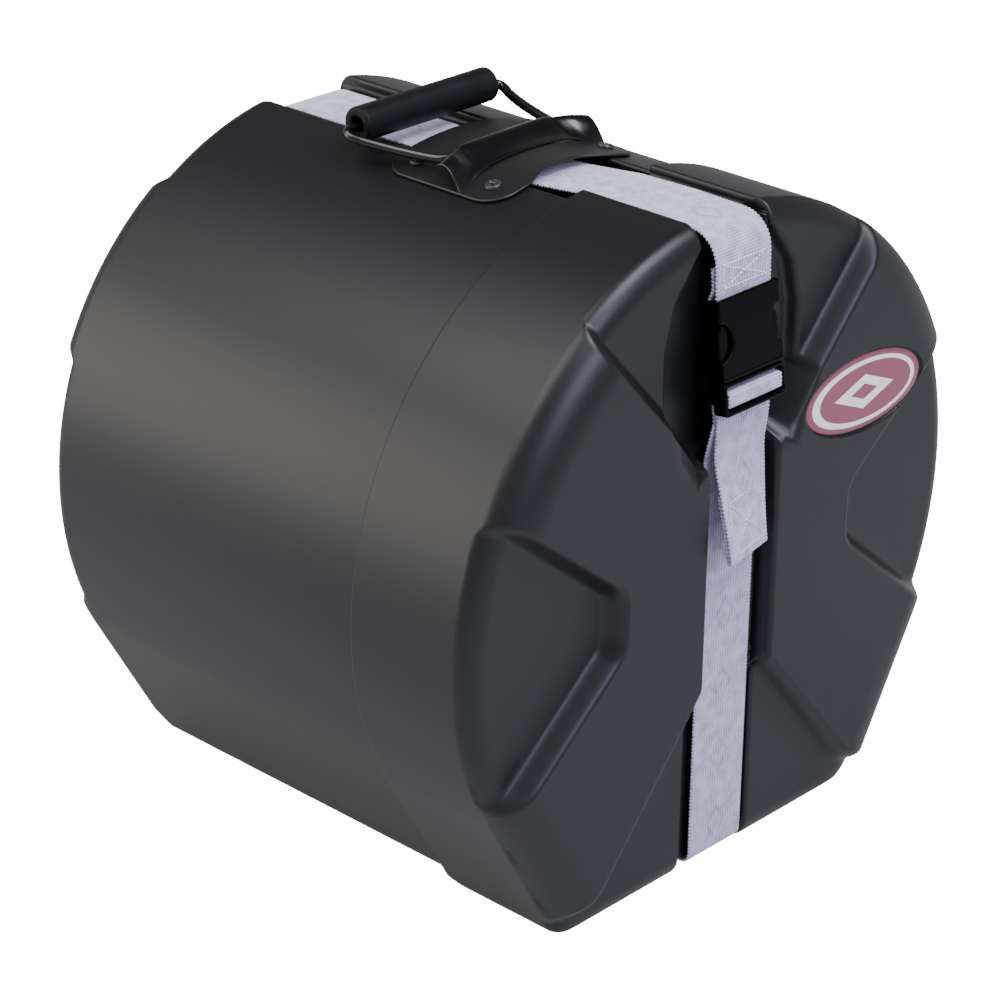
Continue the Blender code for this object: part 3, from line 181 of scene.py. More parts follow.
# Handle: the plate's arc, the hinge, the wire, the grip and the rivets
CENTRE_Z = 0.2146
PLATE_RADIUS, PLATE_THICKNESS = 0.2236, 0.0020
PLATE_HALF_WIDTH, PLATE_LOW, PLATE_HIGH, PLATE_CORNER = 0.067, -0.05295, 0.04705, 0.018
PLATE_WAIST, WAIST_FROM, WAIST_WIDTH = 0.0085, 0.012, 0.030
PLATE_COLUMNS, PLATE_ROWS, WIRE_STEPS, GRIP_STEPS, RIVET_STEPS = 121, 25, 20, 64, 48
HINGE_Y, HINGE_Z = 0.00505, 0.4423
WIRE_RADIUS = 0.0032
# Half of the wire's route from the hinge's middle to the grip's, as X, Y and Z from the hinge
WIRE_ROUTE = [(0.0, 0.0, 0.0), (0.020, 0.0, 0.0), (0.036, 0.0, -0.0002), (0.0435, 0.0006, -0.0014),
              (0.0490, 0.0040, -0.0032), (0.0524, 0.0120, -0.0036), (0.0568, 0.0270, -0.0032),
              (0.0618, 0.0440, -0.0021), (0.0662, 0.0570, -0.0006), (0.0690, 0.0648, 0.0012),
              (0.0674, 0.0690, 0.0029), (0.0625, 0.0700, 0.0037), (0.0560, 0.0700, 0.0040),
              (0.030, 0.0700, 0.0040), (0.0, 0.0700, 0.0040)]
GRIP_RADIUS, GRIP_BORE, GRIP_HALF_LENGTH = 0.0114, 0.0050, 0.0590
GRIP_Y, GRIP_Z = 0.07505, 0.4473
GRIP_LIP, GRIP_ROUND, RIB_PITCH, RIB_HEIGHT = 0.0014, 0.0022, 0.0021, 0.0006
RIBS_FROM, RIBS_TO, RIBS_END = 0.0004, 0.0105, 0.012
RIVET_X, RIVET_LOW, RIVET_HIGH = 0.051, -0.03495, 0.02905
# A rivet's section, as height above the plate and radius; it passes the plate, a gap, the wall and a backing
# strip
RIVET_DROP = PLATE_THICKNESS + 0.0003 + WALL + 0.0021
RIVET_HEAD = [(0.0009, 0.0), (0.0009, 0.0022), (0.0013, 0.0028), (0.0021, 0.0033), (0.0022, 0.0039),
              (0.0019, 0.0047), (0.0012, 0.0053), (0.0002, 0.0055), (0.0, 0.0024)]
RIVET_TAIL = [(-RIVET_DROP, 0.0024), (-RIVET_DROP, 0.0052), (-RIVET_DROP - 0.0012, 0.0050),
              (-RIVET_DROP - 0.0020, 0.0038), (-RIVET_DROP - 0.0022, 0.0)]
SLOT_HALF_WIDTH, SLOT_REACH, SLOT_DEPTH = 0.0005, 0.0030, 0.0007
COVER_THICKNESS = 0.0012
# The cover's sections in millimetres: X, then Y and Z from its front foot over the ridge to its rear edge
COVER_SECTIONS = [
    (0.0, [(-15.6, 440.0), (-13.2, 440.5), (-9.6, 441.2), (-4.6, 442.8), (1.0, 445.5), (4.6, 446.2),
           (7.9, 445.2), (10.5, 442.6), (11.7, 440.1)]),
    (15.0, [(-15.6, 439.5), (-13.2, 440.1), (-9.6, 440.9), (-4.6, 442.6), (1.0, 445.4), (4.6, 446.2),
            (7.9, 445.2), (10.5, 442.6), (11.7, 439.6)]),
    (30.0, [(-15.7, 438.2), (-13.3, 438.9), (-9.7, 440.0), (-4.7, 442.1), (1.0, 445.3), (4.6, 446.2),
            (7.9, 445.2), (10.4, 442.6), (11.5, 438.8)]),
    (37.0, [(-16.0, 437.1), (-13.6, 437.9), (-10.0, 439.2), (-4.9, 441.6), (0.8, 445.0), (4.2, 446.0),
            (6.6, 445.1), (8.2, 443.8), (8.9, 442.6)]),
    (42.0, [(-16.6, 435.9), (-13.8, 437.0), (-10.0, 438.6), (-5.0, 441.2), (0.0, 444.2), (2.6, 445.3),
            (3.9, 444.9), (4.6, 444.3), (4.9, 443.7)]),
    (48.0, [(-17.8, 434.2), (-14.4, 436.6), (-10.4, 439.4), (-5.8, 442.2), (-1.8, 444.4), (0.6, 445.2),
            (1.7, 444.8), (2.2, 444.2), (2.4, 443.6)]),
    (54.0, [(-19.4, 432.0), (-15.4, 436.4), (-11.4, 440.2), (-7.4, 443.2), (-4.4, 444.6), (-2.0, 445.0),
            (-0.2, 444.6), (1.0, 443.7), (1.7, 442.6)]),
    (60.0, [(-20.9, 429.8), (-16.7, 435.4), (-12.9, 439.8), (-9.6, 442.6), (-7.0, 443.9), (-4.8, 444.4),
            (-2.8, 443.9), (-0.9, 442.9), (0.2, 441.6)]),
    (65.4, [(-21.6, 427.6), (-17.8, 433.8), (-14.2, 438.4), (-11.2, 441.3), (-8.9, 442.7), (-6.6, 443.3),
            (-4.6, 443.0), (-2.8, 442.1), (-1.8, 441.2)])]

# Foam: how far inside the shells it lies
LINING_INSET, LINING_THICKNESS = 0.0105, 0.0060
LINING_LOW, LINING_HIGH = -0.1479, 0.1652
PAD_INSET, PAD_THICKNESS = 0.0245, 0.0100
PAD_LID_Y, PAD_BASE_Y = -0.1732, 0.1751
# Half width, foot and top of the notch for the strap channel, outside and inside the lining, and in the pads
LINING_NOTCH, LINING_INNER_NOTCH = (0.0402, 0.0215, 0.4211), (0.0462, 0.0275, 0.4151)
PAD_NOTCH = (0.0462, 0.0415, 0.4011)
NOTCH_INNER_ROUND, NOTCH_OUTER_ROUND, FOAM_SPACING, LINING_POINTS = 0.0015, 0.0034, 0.002, 720
LINING_EDGE, PAD_FOAM_EDGE = 0.0022, 0.0030

# The direction in which the studio is darkest, overhead and a little to the right, the share of the even
# light that is left there, and the cosines between which it falls off
DARK_SIDE, DARK_SHARE, DARK_FROM, DARK_TO = (0.30, 0.10, 0.949), 0.20, 0.25, 0.90
LIGHT_TARGET = (0, 0, 0.2)
# How bright the floor and the world look to the camera itself
BACKDROP = 14.0
# Softboxes: name, place, side, power in watts, colour
SOFTBOXES = [("front_softbox", (-0.2, -2.6, 1.9), 1.0, 44.0, "D4DCFF"),
             ("back_softbox", (-2.7, 2.5, 0.95), 2.4, 72.0, "FFFBF4"),
             ("left_softbox", (-1.1, 0.7, 2.3), 1.6, 40.0, "FFFFFF"),
             ("top_softbox", (0.4, -1.0, 2.7), 1.4, 80.0, "F4F4FF")]

# Spacing of the faces' points: along the border, rim rows and channel rows, and in the plain grid, whose
# points keep clear of the rows by a cell. Points nearer to each other than the least count as one
BORDER_SPACING, RIM_SPACING, CHANNEL_SPACING, GRID_SPACING = 0.0030, 0.0032, 0.0014, 0.007
GRID_CELL, LEAST_SPACING, BORDER_ROOM = 0.0045, 0.0003, 0.0004
# The barrel: its first ring's depth, the deepest that the face's border reaches, its rings, and its lip's
BARREL_START, BORDER_DEEPEST, BARREL_RINGS = 0.039, 0.0368, 7
LIP_START, LIP_RINGS = 0.003, 4
# Where rows of points follow the relief: distances from the rim, the pads, the groove, the pocket and the
# badge
RIM_ROWS = [0.0005, 0.0011, 0.0020, 0.0032, 0.0047, 0.0065, 0.0085, 0.0108, 0.0132, 0.016, 0.0195, 0.0235,
            0.0275, 0.031]
PAD_ROWS = [-0.0042, -0.0026, -0.0017, -0.0009, -0.0002, 0.0006, 0.0014, 0.0023, 0.0032, 0.0039, 0.0046,
            0.0053, 0.006, 0.0067, 0.0075, 0.009]
GROOVE_ROWS = [-0.0025, -0.0012, -0.0004, 0.0003, 0.0010, 0.0016, 0.0023, 0.0031, 0.0040, 0.0050]
POCKET_ROWS = [-0.0045, -0.0034, -0.0024, -0.0014, -0.0005, 0.0004, 0.0013, 0.0024, 0.0036, 0.0050, 0.0064,
               0.0078, 0.0094]
BADGE_ROWS = [-0.0008, 0.0, 0.0004, 0.0009, 0.0014, 0.0020]


def linear(hex_colour):
    """An sRGB hex value as linear RGBA: c / 12.92 below 0.04045, else ((c + 0.055) / 1.055) to the power
    2.4"""
    parts = [int(hex_colour[i:i + 2], 16) / 255 for i in (0, 2, 4)]
    return [c / 12.92 if c <= 0.04045 else ((c + 0.055) / 1.055) ** 2.4 for c in parts] + [1.0]


def connect(node, inputs):
    """Sets or links a node's inputs, given by name or in order"""
    named = inputs if isinstance(inputs, dict) else dict(enumerate(inputs))
    for name, value in named.items():
        if isinstance(value, bpy.types.NodeSocket):
            node.id_data.links.new(value, node.inputs[name])
        else:
            node.inputs[name].default_value = value


def add_node(tree, kind, inputs=(), output=0, **settings):
    """Adds a shader node with its settings and inputs, and gives one of its outputs"""
    node = tree.nodes.new("ShaderNode" + kind)
    for name, value in settings.items():
        setattr(node, name, value)
    connect(node, inputs)
    return node.outputs[output]


def new_material(name):
    """An empty Principled material: its tree and its shader"""
    finish = bpy.data.materials.new(name)
    finish.use_nodes = True
    return finish, finish.node_tree, finish.node_tree.nodes["Principled BSDF"]


def textured(name, values, skin=None, tint=None):
    """A Principled material with values on its shader's sockets. A skin is its relief: bumps in a metre,
    strength and depth in metres. A tint is its colour: patches in a metre, detail and two colours"""
    finish, tree, shader = new_material(name)
    place = add_node(tree, "TexCoord", output="Object")
    connect(shader, values)
    if skin:
        scale, strength, depth = skin
        grain = add_node(tree, "TexNoise", {"Vector": place, "Scale": scale, "Detail": 2.0})
        relief = {"Height": grain, "Strength": strength, "Distance": depth}
        connect(shader, {"Normal": add_node(tree, "Bump", relief)})
    if tint:
        scale, detail, dark, light = tint
        patches = add_node(tree, "TexNoise", {"Vector": place, "Scale": scale, "Detail": detail})
        mix = {0: patches, 6: linear(dark), 7: linear(light)}
        connect(shader, {"Base Color": add_node(tree, "Mix", mix, 2, data_type="RGBA")})
    return finish


def moulded_polyethylene(colours):
    """Black polyethylene with a fine orange-peel skin, which gives a soft, slightly blue sheen"""
    return textured("moulded_polyethylene", {
        "Base Color": colours.shell, "Roughness": 0.40, "Specular IOR Level": 0.42}, (900.0, 0.15, 0.0002))


def nylon_webbing(colours):
    """Flat woven nylon: ribs 2.4 mm apart crossed by picks 1.7 mm apart, drawn about twice as coarse as the
    real ones so that they show, with fuzz, uneven shades and a tone-on-tone diamond every 50 mm: a matt,
    furry surface. Its weave also sets the colour: painted shade between the ribs and picks, painted light on
    their tops"""
    finish, tree, shader = new_material("nylon_webbing")
    place = add_node(tree, "TexCoord", output="UV")
    across, along = add_node(tree, "SeparateXYZ", {"Vector": place}).node.outputs[:2]
    # A wave turns 20 radians for each unit of its scaled place
    ribs, picks = (add_node(tree, "TexWave", {"Vector": place, "Scale": 2 * pi / 20 / pitch}, "Fac",
                            wave_type="BANDS", bands_direction=axis)
                   for axis, pitch in (("X", WEAVE_ACROSS), ("Y", WEAVE_ALONG)))
    fuzz, cloudy = (add_node(tree, "TexNoise", {"Vector": place, "Scale": scale, "Detail": detail})
                    for scale, detail in ((700.0, 3.0), (110.0, 4.0)))
    weave = add_node(tree, "Math", (ribs, picks), operation="MULTIPLY")
    side = add_node(tree, "Math", (across,), operation="ABSOLUTE")
    repeat = add_node(tree, "Math", (along, MOTIF_HALF_REPEAT), operation="PINGPONG")
    reach = add_node(tree, "Math", (side, MOTIF_SLOPE, repeat), operation="MULTIPLY_ADD")
    stripes = add_node(tree, "Math", (reach, STRIPE_REPEAT), operation="PINGPONG")
    on_stripe = add_node(tree, "Math", (stripes, STRIPE_HALF_WIDTH), operation="LESS_THAN")
    on_diamond = add_node(tree, "Math", (reach, MOTIF_REACH), operation="LESS_THAN")
    motif = add_node(tree, "Math", (on_stripe, on_diamond), operation="MULTIPLY")
    # The weave's share of the colour is painted shade between threads and painted light on their tops
    tone = add_node(tree, "Math", (weave, 0.60), operation="MULTIPLY")
    tone = add_node(tree, "Math", (cloudy, 0.85, tone), operation="MULTIPLY_ADD")
    tone = add_node(tree, "Math", (motif, -0.14, tone), operation="MULTIPLY_ADD")
    height = add_node(tree, "Math", (weave, 0.8), operation="MULTIPLY")
    height = add_node(tree, "Math", (fuzz, 0.5, height), operation="MULTIPLY_ADD")
    connect(shader, {
        "Base Color": add_node(tree, "Mix", {0: tone, 6: colours.webbing_dark_and_painted_shade, 7: colours.webbing_pale_and_painted_light}, 2,
                               data_type="RGBA"),
        "Normal": add_node(tree, "Bump", {"Height": height, "Strength": 0.55, "Distance": 0.0004}),
        "Roughness": 0.86, "Sheen Weight": 0.25, "Sheen Roughness": 0.5})
    return finish


def polyester_thread():
    """Twisted white sewing thread, a little shinier than the webbing under it"""
    return textured("polyester_thread", {"Roughness": 0.6}, tint=(1500.0, 2.0, "D8D5E0", "F4F2F8"))


def painted_steel(name, colour, roughness, coat):
    """Pressed steel under black paint, whose slight waves and fine grit break up reflections"""
    finish, tree, shader = new_material(name)
    place = add_node(tree, "TexCoord", output="Object")
    waves, grit = (add_node(tree, "TexNoise", {"Vector": place, "Scale": scale, "Detail": detail})
                   for scale, detail in ((160.0, 1.0), (1600.0, 2.0)))
    height = add_node(tree, "Math", (grit, 0.25, waves), operation="MULTIPLY_ADD")
    bump = add_node(tree, "Bump", {"Height": height, "Strength": 0.08, "Distance": 0.0006})
    connect(shader, {"Base Color": colour, "Roughness": roughness, "Normal": bump, "Coat Weight": coat,
                     "Coat Roughness": 0.12})
    return finish


def vulcanised_rubber():
    """Black rubber tube with a dusty skin: matt, with a faint grey bloom in patches"""
    return textured("vulcanised_rubber", {"Roughness": 0.46, "Specular IOR Level": 0.14},
                    skin=(1100.0, 0.3, 0.0003), tint=(65.0, 5.0, "030304", "1A1A1E"))


def moulded_acetal(colours):
    """Black acetal buckle, moulded in a fine-etched tool: a satin surface with soft highlights"""
    return textured("moulded_acetal", {
        "Base Color": colours.buckle, "Roughness": 0.24, "Specular IOR Level": 0.08}, (1300.0, 0.12, 0.0002))


def polyurethane_foam():
    """Charcoal open-cell foam with cells of 1.25 mm: a soft surface full of pinholes, each darkened by
    painted shade
    """
    finish, tree, shader = new_material("polyurethane_foam")
    place = add_node(tree, "TexCoord", output="Object")
    cells = add_node(tree, "TexVoronoi", {"Vector": place, "Scale": 800.0})
    # The colour darkens towards each cell's middle, where the bump sinks a pit: painted shade in the pinholes
    shades = {0: cells, 6: linear("1A1A1C"), 7: linear("39393C")}
    connect(shader, {
        "Base Color": add_node(tree, "Mix", shades, 2, data_type="RGBA"),
        "Normal": add_node(tree, "Bump", {"Height": cells, "Strength": 0.6, "Distance": 0.0006}),
        "Roughness": 0.95, "Sheen Weight": 0.2})
    return finish


def printed_vinyl(colours):
    """A domed vinyl label: rose ground, a white ring that is thicker at one end, and a plain white lozenge,
    in a UV that runs from -1 to 1 over the label"""
    finish, tree, shader = new_material("printed_vinyl")
    place = add_node(tree, "TexCoord", output="UV")

    def oval(shift, wide, tall):
        scaled = add_node(tree, "VectorMath", (place, (1 / wide, 1 / tall, 0), (shift / wide, 0, 0)),
                          operation="MULTIPLY_ADD")
        reach = add_node(tree, "VectorMath", (scaled,), "Value", operation="LENGTH")
        return add_node(tree, "Math", (reach, 1.0), operation="LESS_THAN")

    ring = add_node(tree, "Math", (oval(0.0, 0.90, 0.86), oval(-0.03, 0.80, 0.74)), operation="SUBTRACT")
    folded = add_node(tree, "VectorMath", (place,), operation="ABSOLUTE")
    slant = add_node(tree, "VectorMath", (folded, (1 / 0.52, 1 / 0.46, 0)), "Value", operation="DOT_PRODUCT")
    lozenge = add_node(tree, "Math", (slant, 0.725, 0.275), operation="COMPARE")
    ink = add_node(tree, "Math", (ring, lozenge), operation="MAXIMUM")
    connect(shader, {"Roughness": 0.3, "Specular IOR Level": 0.3, "Base Color": add_node(
        tree, "Mix", {0: ink, 6: colours.label_ground, 7: colours.label_ink}, 2, data_type="RGBA")})
    return finish


def soft_max(a, b, reach):
    """The greater of two arrays, rounded where they differ by less than reach: plus (reach - |a - b|)^2 / 4
    reach"""
    overlap = np.maximum(reach - np.abs(a - b), 0)
    return np.maximum(a, b) + overlap * overlap / (4 * reach)


def soft_min(a, b, reach):
    """The lesser of two arrays, rounded in the same way"""
    return -soft_max(-a, -b, reach)


def smooth_step(share):
    """3 s^2 - 2 s^3 of a share held between 0 and 1"""
    share = np.clip(share, 0, 1)
    return share * share * (3 - 2 * share)


def densify(points, spacing):
    """Adds points evenly to each step of a path, so that none is longer than the spacing"""
    points = np.asarray(points, float)
    step = np.diff(points, axis=0)
    count = np.maximum(1, np.ceil(np.linalg.norm(step, axis=1) / spacing - 1e-6).astype(int))
    first = np.repeat(np.arange(len(step)), count)
    share = (np.arange(len(first)) - np.repeat(np.cumsum(count) - count, count)) / count[first]
    return np.vstack([points[first] + step[first] * share[:, None], points[-1:]])


def arc(centre, radius, start, end, spacing):
    """Points of a circle's arc: centre + radius (cos a, sin a), a even from start to end"""
    count = max(2, int(np.ceil(abs(end - start) * radius / spacing)) + 1)
    angle = np.linspace(start, end, count)
    return np.stack([centre[0] + radius * np.cos(angle), centre[1] + radius * np.sin(angle)], 1)


def round_path(corners, radii, spacing, closed=False):
    """A path through corners in which each one is an arc of its own radius, tangent to both sides"""
    corners = [np.asarray(corner, float) for corner in corners]
    parts = []
    for i, (here, radius) in enumerate(zip(corners, radii)):
        if radius == 0 or (not closed and i in (0, len(corners) - 1)):
            parts.append(here[None])
            continue
        back = corners[i - 1] - here
        ahead = corners[(i + 1) % len(corners)] - here
        back, ahead = back / np.linalg.norm(back), ahead / np.linalg.norm(ahead)
        half = np.arccos(np.clip(back @ ahead, -1, 1)) / 2
        centre = here + (back + ahead) / np.linalg.norm(back + ahead) * radius / np.sin(half)
        first = here + back * radius / np.tan(half) - centre
        count = max(3, int(np.ceil((pi - 2 * half) * radius / spacing)) + 1)
        turn = np.linspace(0, pi - 2 * half, count)[:, None]
        parts.append(centre + first * np.cos(turn) - back * radius * np.sin(turn))
    path = np.vstack(parts + ([parts[0][:1]] if closed else []))
    return densify(path, spacing)


def outline_distance(x, z, outline):
    """Distance to a closed polygon, less than nothing inside: the least distance to its sides,
    with its sign from how many sides a ray along +X crosses"""
    start, end = outline, np.roll(outline, -1, axis=0)
    nearest = np.full(x.shape, 1e9)
    inside = np.zeros(x.shape, bool)
    for (ax, az), (bx, bz) in zip(start, end):
        dx, dz = bx - ax, bz - az
        share = np.clip(((x - ax) * dx + (z - az) * dz) / (dx * dx + dz * dz), 0, 1)
        nearest = np.minimum(nearest, (x - ax - share * dx) ** 2 + (z - az - share * dz) ** 2)
        if az != bz:
            inside ^= ((az > z) != (bz > z)) & (x < ax + (z - az) * dx / dz)
    distance = np.sqrt(nearest)
    return np.where(inside, -distance, distance)


class PressedEnd:
    """One moulded end of the case, as a depth behind the plane of its raised pads for each X and Z"""

    def __init__(self, sizes, inset, groove=0, length=0, has_buckle_pocket=False):
        self.inset, self.groove, self.length, self.pocketed = inset, groove, length, has_buckle_pocket
        self.radius = sizes.radius
        self.centre = sizes.radius - sizes.flat_cut
        self.top = self.centre + self.radius
        self.flat = sizes.flat_half_width
        self.corner = sizes.foot_radius
        beyond = np.arctan2(self.centre, self.flat)
        self.flank = np.arccos(self.radius / np.hypot(self.flat, self.centre)) - beyond
        self.half_groove = CHANNEL_HALF_WIDTH if has_buckle_pocket else CHANNEL_HALF_WIDTH + WALL + SLIDE_GAP
        self.pad = self.pad_outline()
        self.pocket = round_path(POCKET, [POCKET_CORNER] * len(POCKET), FINE, closed=True)[:-1]

    def corner_centre(self, rounding):
        """Where a circle of this radius touches both the floor line and the flank line"""
        side = 1 / np.cos(self.flank) + np.tan(self.flank)
        return self.flat - rounding * side, rounding

    def rounded_distance(self, x, z, rounding):
        """How far inside the lid's D a point lies: radius less distance from the centre beside the arc, the
        distance to the flank line or the floor line elsewhere, and that to the circle at the foot corner"""
        x = np.abs(x)
        cos_flank, sin_flank = np.cos(self.flank), np.sin(self.flank)
        around = self.radius - np.hypot(x, z - self.centre)
        beside = self.radius - (x * cos_flank + (z - self.centre) * sin_flank)
        beyond = np.arctan2(z - self.centre, x) < self.flank
        side = np.where(beyond, beside, around)
        cx, cz = self.corner_centre(rounding)
        at_corner = (x > cx) & ((x - cx) * -sin_flank + (z - cz) * cos_flank < 0)
        return np.where(at_corner, rounding - np.hypot(x - cx, z - cz), np.minimum(side, z))

    def edge_distance(self, x, z):
        """How far inside this end's own outline a point lies, with foot corners that grow rounder inwards"""
        near = self.rounded_distance(x, z, self.corner)
        far = self.rounded_distance(x, z, FOOT_INNER_RADIUS)
        return near + (far - near) * smooth_step(near / self.corner) - self.inset

    def pad_outline(self):
        """The right-hand pad: an upper and a lower arm that meet beside the strap channel"""
        reach, top = self.radius * 1.1, self.top * 1.05
        edge = CHANNEL_HALF_WIDTH
        corners = [
            (edge, LOWER_FOOT), (edge + (LOWER_FOOT - PAD_TIP) / LOWER_SLOPE, PAD_TIP), (reach, PAD_TIP),
            (reach, SIDE_LOW - (reach - SIDE_X) * SIDE_LOW_SLOPE), (SIDE_X, SIDE_LOW), (SIDE_X, SIDE_HIGH),
            (reach, SIDE_HIGH + (reach - SIDE_X) * SIDE_HIGH_SLOPE), (reach, top),
            (edge + (top - UPPER_FOOT) / UPPER_SLOPE, top), (edge, UPPER_FOOT)]
        radii = [PAD_CORNER, 0.030, 0, 0, SIDE_RADIUS, SIDE_RADIUS, 0, 0, 0, PAD_CORNER]
        return round_path(corners, radii, FINE, closed=True)[:-1]

    def groove_floor(self, z):
        """Depth of the strap channel's floor: level down the face, then an arc over the top and under the
        foot"""
        top = self.top - self.inset - self.groove
        foot = self.inset + self.groove
        upper = np.clip(z - (top - CHANNEL_TOP_RADIUS), 0, CHANNEL_TOP_RADIUS)
        lower = np.clip(foot + CHANNEL_FOOT_RADIUS - z, 0, CHANNEL_FOOT_RADIUS)
        over = CHANNEL_TOP_RADIUS - np.sqrt(CHANNEL_TOP_RADIUS ** 2 - upper ** 2)
        under = CHANNEL_FOOT_RADIUS - np.sqrt(CHANNEL_FOOT_RADIUS ** 2 - lower ** 2)
        return CHANNEL_DEPTH + over + under

    def depth(self, x, z):
        """The lesser of the recess and the drafted wall of the pads, the greater of that and the channel,
        with each end falling away at its rim as a quarter of an ellipse: deep (1 - sqrt(1 - (1 - s /
        wide)^2))"""
        wide = np.abs(x)
        inner = np.maximum(self.edge_distance(x, z), 2e-6)

        def rim(across, deep):
            share = np.clip(1 - inner / across, 0, 1)
            return deep * (1 - np.sqrt(1 - share * share))

        pad = rim(PAD_RIM_ACROSS, PAD_RIM_DEEP)
        recess = RECESS_DEPTH + rim(RECESS_RIM_ACROSS, RECESS_RIM_DEEP)
        wall = outline_distance(wide, z, self.pad) / np.tan(DRAFT)
        face = soft_min(soft_max(pad, wall, PAD_EDGE), recess, RECESS_EDGE)
        beside = wide - self.half_groove
        edge = np.clip(CHANNEL_EDGE - (beside - CHANNEL_WALL), 0, CHANNEL_EDGE)
        face = face + CHANNEL_EDGE - np.sqrt(CHANNEL_EDGE ** 2 - edge ** 2)
        floor = self.groove_floor(z)
        groove = soft_min(floor, floor - beside / CHANNEL_WALL * CHANNEL_DEPTH, CHANNEL_ROOT)
        face = soft_max(face, groove, CHANNEL_ROOT)
        if self.pocketed:
            out = outline_distance(wide, z, self.pocket) / POCKET_DRAFT
            well = POCKET_DEPTH - out * (POCKET_DEPTH - RECESS_DEPTH)
            face = soft_max(face, soft_min(np.full(x.shape, POCKET_DEPTH), well, POCKET_EDGE), POCKET_EDGE)
            along, across = badge_axes(x, z)
            reach = np.hypot(along / BADGE_HALF_LENGTH, across / BADGE_HALF_HEIGHT)
            outside = (reach - 1) * np.hypot(along, across) / np.maximum(reach, 1e-6)
            face = face + BADGE_RECESS * smooth_step(0.5 - (outside - BADGE_GAP) / BADGE_EDGE)
        return face

    def normals(self, x, z):
        """Unit vectors out of the face: (d depth / dx, -1, d depth / dz), by central differences"""
        step = 2e-5
        across = (self.depth(x + step, z) - self.depth(x - step, z)) / (2 * step)
        up = (self.depth(x, z + step) - self.depth(x, z - step)) / (2 * step)
        out = np.stack([across, -np.ones_like(x), up], 1)
        return out / np.linalg.norm(out, axis=1, keepdims=True)

    def notched(self, away, half_width, low, high, inner_round, outer_round, spacing, arc_spacing):
        """The right half of the outline moved inwards, with a notch at its foot and at its top: half the
        foot's notch, foot corner, flank, arc, and half the top's notch"""
        centre = self.corner_centre(self.corner)
        foot = arc(centre, max(self.corner - away, spacing), -pi / 2, self.flank, spacing)
        radius = self.radius - away
        big = arc((0, self.centre), radius, self.flank, np.arccos(half_width / radius), arc_spacing)
        start = round_path([(0, low), (half_width, low), (half_width, away), foot[0]],
                           [0, inner_round, outer_round, 0], spacing / 2)
        end = round_path([big[-2], (half_width, big[-1][1]), (half_width, high), (0, high)],
                         [0, outer_round, inner_round, 0], spacing / 2)
        return np.vstack([start[:-1], foot, big[:-2], end])

    def border(self):
        """The end's own outline, anticlockwise, with the strap channel's notches. Its last point, which lies
        close to its first, is left out"""
        floor = self.inset + self.groove
        half = self.notched(self.inset, self.half_groove, floor, self.top - floor, GROOVE_CORNER,
                            GROOVE_CORNER, BORDER_SPACING, BORDER_SPACING)
        return mirrored(densify(half, BORDER_SPACING))[:-1]

    def rim_row(self, inset):
        """The end's outline without the channel, moved inwards"""
        away = self.inset + inset
        centre = self.corner_centre(self.corner)
        foot = arc(centre, max(self.corner - away, LEAST_CORNER), -pi / 2, self.flank, RIM_SPACING)
        big = arc((0, self.centre), self.radius - away, self.flank, pi / 2, RIM_SPACING)
        return mirrored(densify(np.vstack([[(0, away)], foot, big]), RIM_SPACING))

    def cloud(self, border):
        """Where the face's points lie: rows that follow each edge of the relief, and a plain grid between
        them. A point of the grid is left out where a row passes through its cell or one beside it"""
        rows = [self.rim_row(inset) for inset in RIM_ROWS]
        tall = np.arange(0, self.top, CHANNEL_SPACING)
        sides = [shift_outline(self.pad, distance) for distance in PAD_ROWS]
        sides += [np.stack([np.full(tall.shape, self.half_groove + distance), tall], 1)
                  for distance in GROOVE_ROWS]
        for row in sides:
            rows += [row, row * [-1, 1]]
        if self.pocketed:
            rows += [shift_outline(self.pocket, distance) for distance in POCKET_ROWS]
            turn = np.linspace(0, 2 * pi, BADGE_STEPS, endpoint=False)
            rows += [badge_place((BADGE_HALF_LENGTH + distance) * np.cos(turn),
                                 (BADGE_HALF_HEIGHT + distance) * np.sin(turn)) for distance in BADGE_ROWS]
        marks = np.vstack(rows)
        grid = np.stack(np.meshgrid(np.arange(-self.radius, self.radius, GRID_SPACING),
                                    np.arange(0, self.top, GRID_SPACING)), -1).reshape(-1, 2)
        origin = np.array([self.radius * 1.1, self.top * 0.05])
        taken = np.zeros((np.array([self.radius * 2.4, self.top * 1.2]) / GRID_CELL).astype(int), bool)
        at = ((marks + origin) / GRID_CELL).astype(int)
        at = at[((at >= 1) & (at < np.array(taken.shape) - 1)).all(1)]
        for shift in np.ndindex(3, 3):
            taken[tuple((at + shift - 1).T)] = True
        grid = grid[~taken[tuple(((grid + origin) / GRID_CELL).astype(int).T)]]
        points = np.vstack([marks, grid])
        points = points[np.unique(np.round(points / LEAST_SPACING).astype(int), axis=0, return_index=True)[1]]
        room = self.edge_distance(*points.T)
        floor = self.inset + self.groove + BORDER_ROOM
        in_notch = (np.abs(points[:, 0]) < self.half_groove + LEAST_SPACING) & (
            (points[:, 1] > self.top - floor) | (points[:, 1] < floor))
        return np.vstack([border, points[(room > BORDER_ROOM) & ~in_notch]])


def mirrored(half):
    """A closed outline or path from its right half, which starts and ends in the plane X = 0"""
    return np.vstack([half, half[-2:0:-1] * ([-1] + [1] * (half.shape[1] - 1))])


def badge_axes(x, z):
    """A point's places along and across the badge, which is tilted a little from level"""
    x, z = x - BADGE_X, z - BADGE_Z
    return x * np.cos(BADGE_TILT) + z * np.sin(BADGE_TILT), z * np.cos(BADGE_TILT) - x * np.sin(BADGE_TILT)


def badge_place(along, across):
    """X and Z of a place on the badge"""
    x = BADGE_X + along * np.cos(BADGE_TILT) - across * np.sin(BADGE_TILT)
    return np.stack([x, BADGE_Z + along * np.sin(BADGE_TILT) + across * np.cos(BADGE_TILT)], 1)


